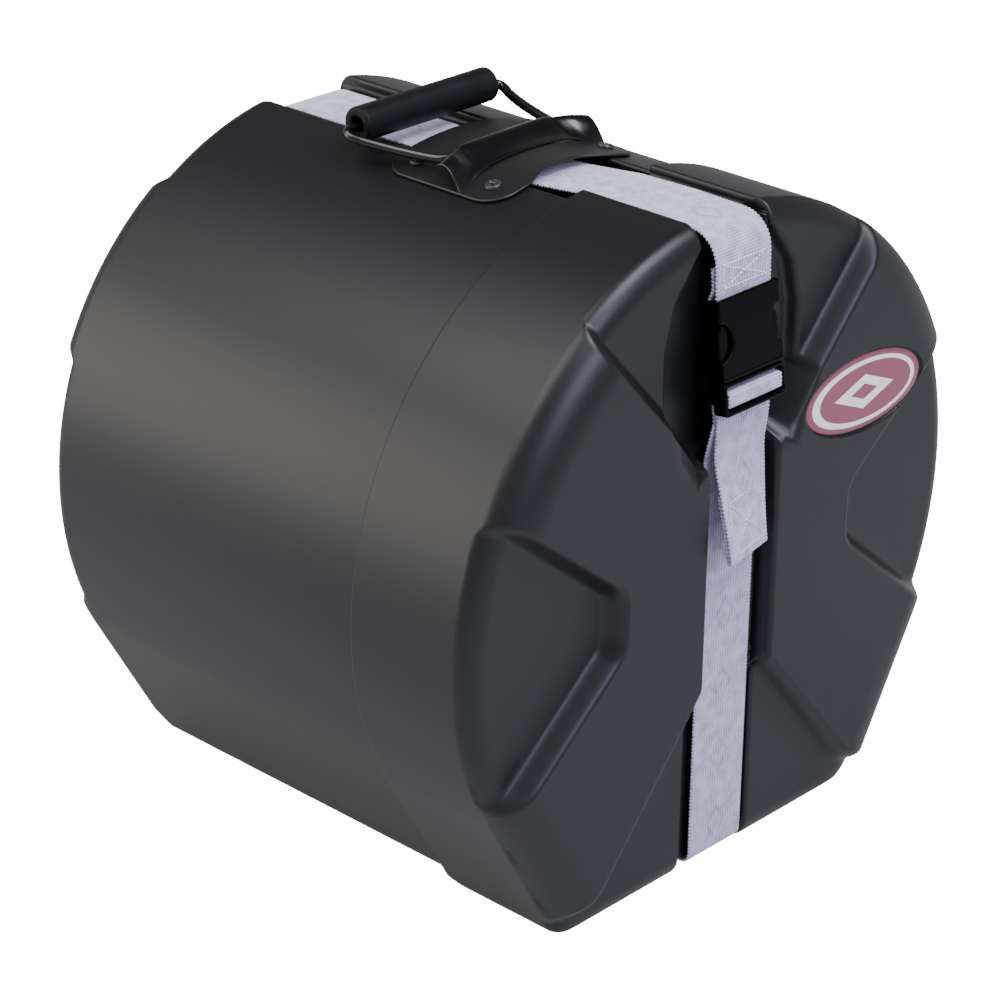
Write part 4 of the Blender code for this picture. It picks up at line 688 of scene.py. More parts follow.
def shift_outline(outline, distance):
    """A closed anticlockwise outline moved outwards along its own normals"""
    return outline + distance * outwards_of(outline)


def outwards_of(outline):
    """Unit vectors out of a closed anticlockwise outline: across the line between each point's neighbours"""
    along = unit(np.roll(outline, -1, axis=0) - np.roll(outline, 1, axis=0))
    return np.stack([along[:, 1], -along[:, 0]], 1)


def strip_faces(first, second):
    """Quads between two closed rings of point numbers"""
    return np.stack([first, np.roll(first, -1), np.roll(second, -1), second], 1)


def oriented(points, faces):
    """The faces, turned over if the volume that they enclose comes out less than nothing"""
    fans = [(f[:, 0], f[:, k], f[:, k + 1]) for f in faces for k in range(1, f.shape[1] - 1)]
    volume = sum(np.einsum("ij,ij->", points[a], np.cross(points[b], points[c])) for a, b, c in fans)
    return faces if volume > 0 else [f[:, ::-1] for f in faces]


def facing(points, faces, normals):
    """The faces turned outwards, and the normals turned with them"""
    faces = oriented(points, faces)
    a, b, c = (points[faces[0][:, k]] for k in range(3))
    return faces, normals * np.sign(np.einsum("ij,ij->", np.cross(b - a, c - a), normals[faces[0][:, 0]]))


def join(parts):
    """Several sets of points, faces and normals as one set"""
    starts = np.cumsum([0] + [len(points) for points, _, _ in parts])
    faces = [f + start for (_, group, _), start in zip(parts, starts) for f in group]
    return np.vstack([p for p, _, _ in parts]), faces, np.vstack([n for _, _, n in parts])


def unit(vectors):
    """Vectors divided by their lengths"""
    return vectors / np.maximum(np.linalg.norm(vectors, axis=-1, keepdims=True), 1e-12)


def grid_faces(rows, columns, close_rows=False, close_columns=False):
    """Quads between neighbours of a grid of points that is stored row by row"""
    i, j = np.meshgrid(np.arange(rows - (not close_rows)), np.arange(columns - (not close_columns)),
                       indexing="ij")
    next_i, next_j = (i + 1) % rows, (j + 1) % columns
    return np.stack([i * columns + j, i * columns + next_j, next_i * columns + next_j, next_i * columns + j],
                    -1).reshape(-1, 4)


def capped_rings(rows, count):
    """Faces of a skin on closed rings of points, stored ring by ring, with a cap on the first and on the
    last"""
    ring = np.arange(count)[None]
    return [grid_faces(rows, count, close_columns=True), ring[:, ::-1], (rows - 1) * count + ring]


def even_outline(outline, count):
    """A closed outline as a number of points spaced evenly along it"""
    closed = np.vstack([outline, outline[:1]])
    along = np.concatenate([[0], np.cumsum(np.linalg.norm(np.diff(closed, axis=0), axis=1))])
    places = np.linspace(0, along[-1], count, endpoint=False)
    return np.stack([np.interp(places, along, closed[:, k]) for k in (0, 1)], 1)


def edge_rings(outline, low, high, rounding, outwards=1, steps=4):
    """Rings of a wall along Y with a quarter-circle edge at each end: inset r (1 - sin a), depth r (1 - cos
    a)"""
    turn = np.linspace(0, pi / 2, steps + 1)
    inset = np.concatenate([rounding * (1 - np.sin(turn)), rounding * (1 - np.sin(turn[::-1]))])
    depth = np.concatenate([low + rounding * (1 - np.cos(turn)), high - rounding * (1 - np.cos(turn[::-1]))])
    lean = np.concatenate([-np.cos(turn), np.cos(turn[::-1])])
    reach = np.concatenate([np.sin(turn), np.sin(turn[::-1])])
    out = outwards * outwards_of(outline)
    flat = outline[None] - inset[:, None, None] * out[None]
    points = np.stack([flat[..., 0], np.broadcast_to(depth[:, None], flat.shape[:2]), flat[..., 1]], -1)
    normals = np.stack([reach[:, None] * out[None, :, 0], np.broadcast_to(lean[:, None], flat.shape[:2]),
                        reach[:, None] * out[None, :, 1]], -1)
    return points, normals


def slab(outline, low, high, rounding):
    """A plate between two depths with rounded edges, from its anticlockwise outline in X and Z"""
    points, normals = edge_rings(outline, low, high, rounding)
    faces = capped_rings(*points.shape[:2])
    points = points.reshape(-1, 3)
    return points, oriented(points, faces), normals.reshape(-1, 3)


def frame_slab(outer, inner, low, high, rounding):
    """A plate with one opening, from two outlines of equal count"""
    rim, rim_out = edge_rings(outer, low, high, rounding)
    hole, hole_out = edge_rings(inner, low, high, rounding, outwards=-1)
    rows, count = rim.shape[:2]
    points = np.vstack([rim.reshape(-1, 3), hole.reshape(-1, 3)])
    walls = grid_faces(rows, count, close_columns=True)
    ring = np.arange(count)
    near = strip_faces(ring, ring + rows * count)
    far = strip_faces(ring + (rows - 1) * count, ring + (2 * rows - 1) * count)
    faces = [walls, (walls + rows * count)[:, ::-1], near[:, ::-1], far]
    normals = np.vstack([rim_out.reshape(-1, 3), hole_out.reshape(-1, 3)])
    return points, oriented(points, faces), normals


def rectangle(low, high, radius, spacing=0.0008):
    """A rounded rectangle in X and Z"""
    corners = [low, (high[0], low[1]), high, (low[0], high[1])]
    return round_path(corners, [radius] * 4, spacing, closed=True)[:-1]


def lathe(profile, steps, closed=True):
    """A profile of places along X and radii, turned about the X axis: (a, r cos t, r sin t).
    Its normals are the profile's own, turned with it"""
    profile = np.asarray(profile, float)
    along = unit(np.roll(profile, -1, axis=0) - np.roll(profile, 1, axis=0))
    if not closed:
        along[0], along[-1] = unit(profile[1] - profile[0]), unit(profile[-1] - profile[-2])
    turn = np.linspace(0, 2 * pi, steps, endpoint=False)
    c, s = np.cos(turn), np.sin(turn)
    count = len(profile)
    points = np.stack([np.broadcast_to(profile[:, :1], (count, steps)), np.outer(profile[:, 1], c),
                       np.outer(profile[:, 1], s)], -1)
    normals = np.stack([np.broadcast_to(along[:, 1:], (count, steps)), np.outer(-along[:, 0], c),
                        np.outer(-along[:, 0], s)], -1)
    points = points.reshape(-1, 3)
    return points, *facing(points, [grid_faces(count, steps, close_rows=closed, close_columns=True)],
                           normals.reshape(-1, 3))


def tube(path, radius, up, steps):
    """A round section carried along a closed path: path + r (side cos t + up' sin t)"""
    ahead = unit(np.roll(path, -1, axis=0) - np.roll(path, 1, axis=0))
    side = unit(np.cross(ahead, up))
    rise = np.cross(side, ahead)
    turn = np.linspace(0, 2 * pi, steps, endpoint=False)
    out = side[:, None] * np.cos(turn)[None, :, None] + rise[:, None] * np.sin(turn)[None, :, None]
    points = (path[:, None] + radius * out).reshape(-1, 3)
    faces = [grid_faces(len(path), steps, close_rows=True, close_columns=True)]
    return points, oriented(points, faces), out.reshape(-1, 3)


def through(points, steps):
    """A smooth path through points: the Catmull-Rom cubic, whose slope at a point joins its two neighbours"""
    points = np.asarray(points, float)
    padded = np.vstack([2 * points[:1] - points[1:2], points, 2 * points[-1:] - points[-2:-1]])
    t = np.linspace(0, len(points) - 1, (len(points) - 1) * steps + 1)
    i = np.minimum(t.astype(int), len(points) - 2)
    f = (t - i)[:, None]
    a, b, c, d = (padded[i + k] for k in range(4))
    slope, bend, twist = c - a, 2 * a - 5 * b + 4 * c - d, 3 * b - a - 3 * c + d
    return 0.5 * (2 * b + slope * f + bend * f ** 2 + twist * f ** 3)


def band(path, across=(1.0, 0.0, 0.0), half_width=WEB_HALF_WIDTH, start=0.0):
    """Webbing: a flat section with soft edges carried along a path, its half width scalloped by its weave:
    w + e cos(2 pi s / pitch). Gives UV in metres: across the webbing and along it"""
    ahead = unit(np.gradient(path, axis=0))
    across = np.broadcast_to(across, path.shape)
    across = unit(across - ahead * np.einsum("ij,ij->i", across, ahead)[:, None])
    up = np.cross(across, ahead)
    along = start + np.concatenate([[0], np.cumsum(np.linalg.norm(np.diff(path, axis=0), axis=1))])
    spread = np.array([-0.97, -0.85, -0.6, -0.3, 0, 0.3, 0.6, 0.85, 0.97])
    edge = np.array([0.995, 1.0, 0.995])
    side = np.concatenate([spread, edge, spread[::-1], -edge])
    crown = 1 - 0.10 * np.abs(spread) ** 6
    lift = np.concatenate([crown, [0.6, 0, -0.6], -crown[::-1], [-0.6, 0, 0.6]]) / 2
    wide = half_width + WEB_SCALLOP * np.cos(2 * pi * along / WEB_SCALLOP_PITCH)
    points = (path[:, None] + across[:, None] * (side[None, :, None] * wide[:, None, None])
              + up[:, None] * (lift[None, :, None] * WEB_THICKNESS)).reshape(-1, 3)
    faces = capped_rings(len(path), len(side))
    uv = np.stack(np.broadcast_arrays(side[None] * half_width, along[:, None]), -1).reshape(-1, 2)
    return points, oriented(points, faces), uv


def make_piece(name, shape, finish, body, uv=None, sharp=None):
    """A smooth mesh from arrays: a shape is its points, its faces and, unless they are None, its normals"""
    points, faces, normals = shape
    loops = np.concatenate([f.ravel() for f in faces]).astype(np.int32)
    sides = np.concatenate([np.full(len(f), f.shape[1]) for f in faces])
    mesh = bpy.data.meshes.new(name)
    mesh.vertices.add(len(points))
    mesh.vertices.foreach_set("co", points.astype(np.float32).ravel())
    mesh.loops.add(len(loops))
    mesh.loops.foreach_set("vertex_index", loops)
    mesh.polygons.add(len(sides))
    mesh.polygons.foreach_set("loop_start", (np.cumsum(sides) - sides).astype(np.int32))
    mesh.update(calc_edges=True)
    mesh.shade_smooth()
    if uv is not None:
        mesh.uv_layers.new(name="UVMap").data.foreach_set("uv", uv.astype(np.float32)[loops].ravel())
    if sharp is not None:
        mesh.set_sharp_from_angle(angle=sharp)
    if normals is not None:
        mesh.normals_split_custom_set_from_vertices(normals.tolist())
    mesh.materials.append(finish)
    piece = bpy.data.objects.new(name, mesh)
    bpy.context.scene.collection.objects.link(piece)
    if body:
        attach(piece, body)
    return piece


def shell_mesh(end, place, sign):
    """Points, faces and normals of one end's shell.

    The face is a Delaunay net over its cloud of points, the barrel is the border carried back along Y in rings
    that turn in round the lip by r (1 - cos a), and the inside is the whole outer skin moved inwards along its
    normals by the wall. Place turns a depth into Y, and sign is +1 where depth runs along +Y.
    """
    border = end.border()
    count = len(border)
    net = delaunay_2d_cdt(end.cloud(border).tolist(), [], [list(range(count))], 1, 1e-7)
    spots, triangles = np.array([tuple(v) for v in net[0]]), np.array(net[2])
    if not np.allclose(spots[:count], border, atol=1e-6):
        raise RuntimeError("the net lost its border")
    depth = end.depth(*spots.T)
    out = end.normals(*spots.T)
    outward = outwards_of(border)[:, [0, 0, 1]] * [1, 0, 1]
    out[:count] = outward
    depth[:count] = np.minimum(depth[:count], BORDER_DEEPEST)

    turn = np.linspace(0, pi / 2, LIP_RINGS)
    level = np.append(np.linspace(BARREL_START, end.length - RAMP_LENGTH, BARREL_RINGS),
                      end.length - LIP_START)
    backs = np.append(level, end.length - RIM_ROUND * (1 - np.sin(turn)))[:, None, None]
    leans = np.append(np.zeros(len(level)), turn)[:, None, None]
    rings = (border[:, [0, 0, 1]] * [1, 0, 1] - outward * RIM_ROUND * (1 - np.cos(leans))) + backs * [0, 1, 0]
    ring_out = outward * np.cos(leans) + np.sin(leans) * [0, 1, 0]
    skin = np.vstack([np.stack([spots[:, 0], depth, spots[:, 1]], 1), rings.reshape(-1, 3)])
    skin_out = np.vstack([out, ring_out.reshape(-1, 3)])
    starts = [np.arange(count)] + [len(spots) + k * count + np.arange(count) for k in range(len(rings))]
    strips = np.vstack([strip_faces(a, b) for a, b in zip(starts, starts[1:])])

    lip = len(skin) - LIP_RINGS * count
    straight = skin_out.copy()
    straight[lip:] = np.tile(outward, (LIP_RINGS, 1))
    inside = skin - straight * WALL
    inside[lip:, 1] = skin[lip:, 1]
    if end.pocketed:
        ramp = np.clip((skin[:, 1] - end.length + RAMP_LENGTH) / RAMP_LENGTH, 0, 1)
        skin = skin + (RAMP_RISE * ramp * np.maximum(-straight[:, 2], 0) ** 2)[:, None] * [0, 0, 1]
    points = np.vstack([skin, inside])
    normals = np.vstack([skin_out, -straight])
    rim = strip_faces(starts[-1], starts[-1] + len(skin))
    faces_tri = np.vstack([triangles, triangles[:, ::-1] + len(skin)])
    faces_quad = np.vstack([strips[:, ::-1], strips + len(skin), rim[:, ::-1]])
    points[:, 1] = place(points[:, 1])
    normals[:, 1] *= sign
    return points, oriented(points, [faces_tri, faces_quad]), normals


def runner(x):
    """A rounded bar along Y under the base, for the case to stand on"""
    low, high = (x - RUNNER_HALF_WIDTH, RUNNER_LOW), (x + RUNNER_HALF_WIDTH, RUNNER_HIGH)
    points, faces, normals = slab(rectangle(low, high, RUNNER_CORNER), 0.0, RUNNER_HEIGHT, RUNNER_ROUND)
    points, normals = points[:, [0, 2, 1]], normals[:, [0, 2, 1]]
    return points, oriented(points, faces), normals


def foam_outline(sizes, inset, notch):
    """The case's outline moved inwards, with notches for the strap channel"""
    return mirrored(PressedEnd(sizes, inset).notched(inset, *notch, NOTCH_INNER_ROUND, NOTCH_OUTER_ROUND,
                                                     FOAM_SPACING, 2 * FOAM_SPACING))


def place_in_buckle(shape):
    """From the buckle's frame (X, depth, height above the mouth) to the case's, leaning its top back"""
    c, s = cos(BUCKLE_LEAN), sin(BUCKLE_LEAN)
    turn = np.array([[1, 0, 0], [0, c, -s], [0, s, c]])
    return shape[0] @ turn + BUCKLE_PLACE, shape[1], shape[2] @ turn


def socket_outline(high):
    """The socket's outline, with a round notch in each side, its two points rounded by arcs that touch the
    side and the notch: their centres lie at sqrt((notch + round)^2 - (round + offset)^2) from the notch's in
    height"""
    wide, point = BUCKLE_HALF_WIDTH, NOTCH_POINT
    rise = np.sqrt((NOTCH_RADIUS + point) ** 2 - (point + NOTCH_OFFSET) ** 2)
    turn = np.arctan2(rise, point + NOTCH_OFFSET)
    lower = arc((wide - point, NOTCH_HEIGHT - rise), point, 0, turn, 0.0004)
    bite = arc((wide + NOTCH_OFFSET, NOTCH_HEIGHT), NOTCH_RADIUS, pi + turn, pi - turn, 0.0006)
    upper = arc((wide - point, NOTCH_HEIGHT + rise), point, -turn, 0, 0.0004)
    right = round_path([(0, 0), (wide, 0), lower[0]], [0, 0.0022, 0], 0.0008)
    top = round_path([upper[-1], (wide, high), (0, high)], [0, 0.0040, 0], 0.0008)
    return mirrored(np.vstack([right[:-1], lower, bite[1:-1], upper, top[1:]]))


def blocks(table):
    """Slabs on rounded rectangles, each with a twin on the left if it starts beside the middle"""
    shapes = []
    for x_low, x_high, low, high, near, far, corner, edge in table:
        for start, end in ([(-x_high, -x_low)] if x_low > 0 else []) + [(x_low, x_high)]:
            shapes.append(slab(rectangle((start, low), (end, high), corner), near, far, edge))
    return shapes


def closed_sheet(middle, thickness, steps=4):
    """A sheet of one thickness about a grid of points, with half-round edges: middle +- n t / 2, and round
    the border middle + t / 2 (n cos a + out sin a)"""
    rows, columns = middle.shape[:2]
    across = unit(np.gradient(middle, axis=1))
    along = unit(np.gradient(middle, axis=0))
    normal = unit(np.cross(across, along))
    half = thickness / 2
    index = np.arange(rows * columns).reshape(rows, columns)
    border = np.concatenate([index[0, :-1], index[:-1, -1], index[-1, :0:-1], index[:0:-1, 0]])
    flat, lift = middle.reshape(-1, 3), normal.reshape(-1, 3)
    ring, rise = flat[border], lift[border]
    out = unit(np.cross(np.roll(ring, -1, axis=0) - np.roll(ring, 1, axis=0), rise))
    turn = np.linspace(0, pi, steps + 2)[1:-1]
    lean = rise[None] * np.cos(turn)[:, None, None] + out[None] * np.sin(turn)[:, None, None]
    edge = (ring[None] + half * lean).reshape(-1, 3)
    total, count = rows * columns, len(border)
    rings = [border] + [2 * total + k * count + np.arange(count) for k in range(steps)] + [border + total]
    quads = grid_faces(rows, columns)
    faces = [quads, quads[:, ::-1] + total] + [strip_faces(a, b)[:, ::-1] for a, b in zip(rings, rings[1:])]
    points = np.vstack([flat + half * lift, flat - half * lift, edge])
    return points, *facing(points, faces, np.vstack([lift, -lift, lean.reshape(-1, 3)]))


def sewn_box(centre, side, ahead, front, length):
    """A box with a cross in it, sewn on the webbing. Each stitch is a bar that dips into the cloth at both
    ends: middle + r sin(pi s)^0.4 (across cos a + front sin a)"""
    w, l = BOX_WIDTH / 2, length / 2
    corners = np.array([(-w, -l), (w, -l), (w, l), (-w, l)])
    starts, ends = [], []
    for first, last in ((0, 1), (1, 2), (2, 3), (3, 0), (0, 2), (1, 3)):
        run = corners[last] - corners[first]
        at = np.arange(STITCH_PITCH / 2, np.linalg.norm(run) - STITCH_LENGTH, STITCH_PITCH)[:, None]
        starts.append(corners[first] + unit(run) * at)
        ends.append(corners[first] + unit(run) * (at + STITCH_LENGTH))
    starts, ends = (centre + np.vstack(places) @ np.array([side, ahead]) for places in (starts, ends))

    steps = 6
    share = np.linspace(0.02, 0.98, steps)
    turn = np.linspace(0, 2 * pi, steps, endpoint=False)
    across = unit(np.cross(unit(ends - starts), front))
    swell = THREAD_RADIUS * np.sin(pi * share) ** 0.4
    middle = starts[:, None] + (ends - starts)[:, None] * share[None, :, None]
    ring = across[:, None] * np.cos(turn)[None, :, None] + front * np.sin(turn)[None, :, None]
    points = middle[:, :, None] + swell[None, :, None, None] * ring[:, None]
    normals = np.broadcast_to(ring[:, None], points.shape).reshape(-1, 3)
    bar = grid_faces(steps, steps, close_columns=True)
    caps = np.array([np.arange(steps)[::-1], steps * (steps - 1) + np.arange(steps)])
    shift = (np.arange(len(starts)) * steps * steps)[:, None, None]
    points = points.reshape(-1, 3)
    return points, oriented(points, [(bar + shift).reshape(-1, 4), (caps + shift).reshape(-1, steps)]), normals


def route(corners):
    """A route's centre line as points in the plane X = 0"""
    path = round_path([(y, z) for y, z, _ in corners], [radius for _, _, radius in corners], WEB_STEP)
    return np.stack([np.zeros(len(path)), path[:, 0], path[:, 1]], 1)


class MESH_OT_drum_case_shells(bpy.types.Operator):
    """Makes the lid and the base, with their raised pads, recesses and strap channels"""
    bl_idname = "mesh.drum_case_shells"
    bl_label = "Shells"

    def execute(self, context):
        sizes = context.scene.drum_case_sizes
        finish = moulded_polyethylene(context.scene.drum_case_colours)
        lid = PressedEnd(sizes, 0, LID_GROOVE, LID_LENGTH, True)
        piece = make_piece("lid_moulding", shell_mesh(lid, lambda depth: FRONT_Y + depth, 1), finish, "lid")
        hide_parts("lid_shell")
        base = PressedEnd(sizes, WALL + SLIDE_GAP, BASE_GROOVE, REAR_Y - FRONT_Y - BASE_RIM_DEPTH)
        shapes = [shell_mesh(base, lambda depth: REAR_Y - depth, -1), runner(-RUNNER_X), runner(RUNNER_X)]
        piece = make_piece("base_moulding", join(shapes), finish, "base")
        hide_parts("base_shell")
        return {"FINISHED"}


def make_loop(path, webbing):
    """The strap from the socket's bar over the top, down the back and under the base"""
    points, faces, uv = band(path)
    loop = make_piece("strap_loop", (points, faces, None), webbing, None, uv, WEB_CREASE)
    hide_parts("strap_base_run", "strap_lid_top")
    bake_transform(loop)


def make_run(webbing, start):
    """The strap from under the lid up the front to the plug, with its weave going on from the loop's"""
    points, faces, uv = band(route(RUN_ROUTE), start=start)
    run = make_piece("strap_run", (points, faces, None), webbing, None, uv, WEB_CREASE)
    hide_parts("strap_front_run")
    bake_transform(run)


def make_tail(webbing, sewing, start):
    """The strap over the ladder bar and its free end, which twists as it hangs, with the hem sewn behind
    it"""
    path = route(TAIL_ROUTE)
    tip = TAIL_ROUTE[-1][1]
    hanging = np.arange(len(path)) > len(path) / 3
    twist = TAIL_TWIST * smooth_step((TAIL_FOLD - path[:, 2]) / (TAIL_FOLD - tip)) * hanging
    across = np.stack([np.cos(twist), np.sin(twist), np.zeros(len(path))], 1)
    hem_path = path[path[:, 2] < tip + HEM_LENGTH]
    hem_across = across[-len(hem_path):]
    behind = unit(np.cross(np.gradient(hem_path, axis=0), hem_across))
    behind *= np.sign(behind[:, 1:2])
    bands = [band(path, across, WEB_HALF_WIDTH - TAIL_TRIM, start),
             band(hem_path + behind * WEB_THICKNESS * 1.02, hem_across, WEB_HALF_WIDTH - HEM_TRIM)]
    points, faces, uv = join(bands)
    tail = make_piece("strap_tail_end", (points, faces, None), webbing, "plug", uv, WEB_CREASE)
    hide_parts("strap_tail")

    middle = len(hem_path) // 2
    front = -behind[middle]
    ahead = unit(hem_path[-1] - hem_path[0])
    shape = sewn_box(hem_path[middle] + front * WEB_THICKNESS / 2, hem_across[middle], ahead, front, HEM_BOX)
    make_piece("tail_sewing", shape, sewing, "plug")


def sew_loop(path, sewing):
    """The box sewn on the loop's end, above the socket"""
    y, z = path[:, 1:].T
    sewn = path[(y < SEWN_FRONT) & (z > SEWN_LOW) & (z < SEWN_HIGH) & (np.arange(len(z)) > SEWN_FROM)]
    ahead = unit(sewn[-1] - sewn[0])
    front = np.cross((1, 0, 0), ahead)
    front *= -np.sign(front[1])
    centre = sewn[len(sewn) // 2] + front * (WEB_THICKNESS / 2 + SEWN_RISE)
    shape = sewn_box(centre, (1, 0, 0), ahead, front, LOOP_BOX)
    make_piece("loop_sewing", shape, sewing, "lid")


class MESH_OT_drum_case_straps(bpy.types.Operator):
    """Makes the strap's loop, its run up the front, its tail and its sewing"""
    bl_idname = "mesh.drum_case_straps"
    bl_label = "Straps"

    def execute(self, context):
        webbing, sewing = nylon_webbing(context.scene.drum_case_colours), polyester_thread()
        path = route(LOOP_ROUTE)
        start = np.linalg.norm(np.diff(path, axis=0), axis=1).sum()
        make_loop(path, webbing)
        make_run(webbing, start)
        make_tail(webbing, sewing, start)
        sew_loop(path, sewing)
        return {"FINISHED"}


def make_socket(acetal):
    """The buckle's female half: two plates, the bar that the strap's loop goes round, and blocks"""
    points, faces, normals = lathe(SOCKET_BAR, 20, closed=False)
    shapes = [slab(socket_outline(SOCKET_LENGTH), 0, SOCKET_PLATE, 0.0011),
              slab(socket_outline(SOCKET_BACK), BUCKLE_THICKNESS - SOCKET_PLATE, BUCKLE_THICKNESS, 0.0010),
              (points + [0, SOCKET_BAR_DEPTH, SOCKET_BAR_HEIGHT], faces, normals)] + blocks(SOCKET_BLOCKS)
    socket = make_piece("release_socket", place_in_buckle(join(shapes)), acetal, "lid")
    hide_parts("buckle_socket")


def make_plug(acetal):
    """The buckle's male half: a frame with the ladder, and blocks"""
    rings = []
    for low, high, corner in (PLUG_FRAME, PLUG_OPENING):
        ring = even_outline(rectangle(low, high, corner, 0.0004), PLUG_POINTS)
        first = np.argmin(np.linalg.norm(ring - [low[0], PLUG_MIDDLE], axis=1))
        rings.append(np.roll(ring, -first, axis=0))
    shapes = [frame_slab(*rings, 0, PLUG_DEPTH, PLUG_EDGE)] + blocks(PLUG_BLOCKS)
    plug = make_piece("release_plug", place_in_buckle(join(shapes)), acetal, "plug")
    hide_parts("buckle_plug")


def make_prongs(acetal):
    """The two springy arms in the socket's windows"""
    arm = round_path(PRONG_OUTLINE, PRONG_CORNERS, 0.0006, closed=True)[:-1]
    for side, outline in (("left", (arm * [-1, 1])[::-1]), ("right", arm)):
        shape = place_in_buckle(slab(outline, PRONG_NEAR, PRONG_FAR, PRONG_EDGE))
        prong = make_piece(f"release_prong_{side}", shape, acetal, f"prong_{side}")
        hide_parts(f"latch_prong_{side}")


class MESH_OT_drum_case_buckle(bpy.types.Operator):
    """Makes the side-release buckle: socket, plug and two prongs"""
    bl_idname = "mesh.drum_case_buckle"
    bl_label = "Buckle"

    def execute(self, context):
        acetal = moulded_acetal(context.scene.drum_case_colours)
        make_socket(acetal)
        make_plug(acetal)
        make_prongs(acetal)
        return {"FINISHED"}


def make_plate(satin):
    """The curved plate: its front and rear edges in Y for each X, with corners r - sqrt(r^2 - s^2) and a
    waist"""
    half = PLATE_HALF_WIDTH - PLATE_THICKNESS / 2
    x = half * np.sin(np.linspace(-pi / 2, pi / 2, PLATE_COLUMNS))
    past = np.clip(np.abs(x) - (half - PLATE_CORNER), 0, PLATE_CORNER)
    bend = PLATE_CORNER - np.sqrt(PLATE_CORNER ** 2 - past ** 2)
    waist = PLATE_WAIST * (1 - smooth_step((np.abs(x) - WAIST_FROM) / WAIST_WIDTH))
    low = PLATE_LOW + PLATE_THICKNESS / 2 + bend + waist
    high = PLATE_HIGH - PLATE_THICKNESS / 2 - bend
    share = np.linspace(0, 1, PLATE_ROWS)[:, None]
    middle = np.stack(np.broadcast_arrays(x[None], low + (high - low) * share,
                                          CENTRE_Z + np.sqrt(PLATE_RADIUS ** 2 - x ** 2)[None]), -1)
    plate = make_piece("hinge_plate", closed_sheet(middle, PLATE_THICKNESS), satin, "base")
    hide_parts("handle_plate")


def make_cover(gloss):
    """The pressed cover over the wire, smoothed through its sections, which are the same on both sides"""
    right = np.array([[(x, y, z) for y, z in row] for x, row in COVER_SECTIONS]) / 1000
    rows = np.vstack([right[:0:-1] * [-1, 1, 1], right])
    rows = through(rows.reshape(len(rows), -1), 8).reshape(-1, right.shape[1], 3).transpose(1, 0, 2)
    fine = through(rows.reshape(len(rows), -1), 5).reshape(-1, rows.shape[1], 3)
    cover = make_piece("wire_cover", closed_sheet(fine, COVER_THICKNESS), gloss, "base")
    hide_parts("hinge_cover")


def make_wire(gloss):
    """The closed wire loop, from under the cover to the grip"""
    path = mirrored(through(WIRE_ROUTE, 8)) + [0, HINGE_Y, HINGE_Z]
    wire = make_piece("handle_wire", tube(path, WIRE_RADIUS, (0, 0, 1), WIRE_STEPS), gloss, "bail")
    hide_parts("bail_wire")


def make_grip(rubber):
    """The rubber tube, whose bore has ribs near its ends: bore + r (1 + cos(2 pi s / pitch))"""
    end = GRIP_HALF_LENGTH
    outer = round_path([(end, GRIP_BORE + GRIP_LIP), (end, GRIP_RADIUS), (0, GRIP_RADIUS)],
                       [0, GRIP_ROUND, 0], 0.0005)
    rib_x = np.linspace(end - RIBS_FROM, end - RIBS_TO, 40)
    rib_r = GRIP_BORE + 0.0007 + RIB_HEIGHT * np.cos(2 * pi * (end - rib_x) / RIB_PITCH)
    bore = np.vstack([np.stack([rib_x, rib_r], 1), [(end - RIBS_END, GRIP_BORE), (0, GRIP_BORE)]])
    points, faces, normals = lathe(mirrored(np.vstack([bore[::-1], outer])), GRIP_STEPS)
    grip = make_piece("rubber_grip", (points + [0, GRIP_Y, GRIP_Z], faces, normals), rubber, "grip")
    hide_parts("grip_sleeve")


def make_rivets(zinc):
    """Four rivets square to the plate, each with a cross slot in its head"""
    profile = np.vstack([densify(RIVET_HEAD, 0.0003), RIVET_TAIL])
    points, faces, _ = lathe(profile, RIVET_STEPS, closed=False)
    across = np.abs(points[:, 1:])
    in_slot = (across.min(1) < SLOT_HALF_WIDTH) & (np.hypot(*across.T) < SLOT_REACH) & (points[:, 0] > 0)
    points = points - in_slot[:, None] * [SLOT_DEPTH, 0, 0]
    top = PLATE_RADIUS + PLATE_THICKNESS / 2
    for row, y in (("front", RIVET_LOW), ("rear", RIVET_HIGH)):
        for side, x in (("left", -RIVET_X), ("right", RIVET_X)):
            angle = np.arcsin(x / top)
            axes = np.array([[sin(angle), 0, cos(angle)], [cos(angle), 0, -sin(angle)], [0, 1, 0]])
            placed = points @ axes + [x, y, CENTRE_Z + top * cos(angle)]
            shape = (placed, oriented(placed, faces), None)
            rivet = make_piece(f"{row}_{side}_rivet", shape, zinc, "base", sharp=radians(35))
            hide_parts(f"rivet_{row}_{side}")


class MESH_OT_drum_case_handle(bpy.types.Operator):
    """Makes the plate, the hinge cover, the wire, the grip and the rivets, and paints the backing strips"""
    bl_idname = "mesh.drum_case_handle"
    bl_label = "Handle"

    def execute(self, context):
        colours = context.scene.drum_case_colours
        satin = painted_steel("satin_black_paint", colours.plate_paint, 0.40, 0.0)
        gloss = painted_steel("gloss_black_paint", colours.handle_paint, 0.20, 0.22)
        make_plate(satin)
        make_cover(gloss)
        make_wire(gloss)
        make_grip(vulcanised_rubber())
        make_rivets(painted_steel("blackened_rivet_steel", linear("2A2A2C"), 0.33, 0.0))
        for item in bpy.data.objects:
            if item.name.startswith("handle_backing"):
                for material_slot in item.material_slots:
                    material_slot.material = satin
        return {"FINISHED"}


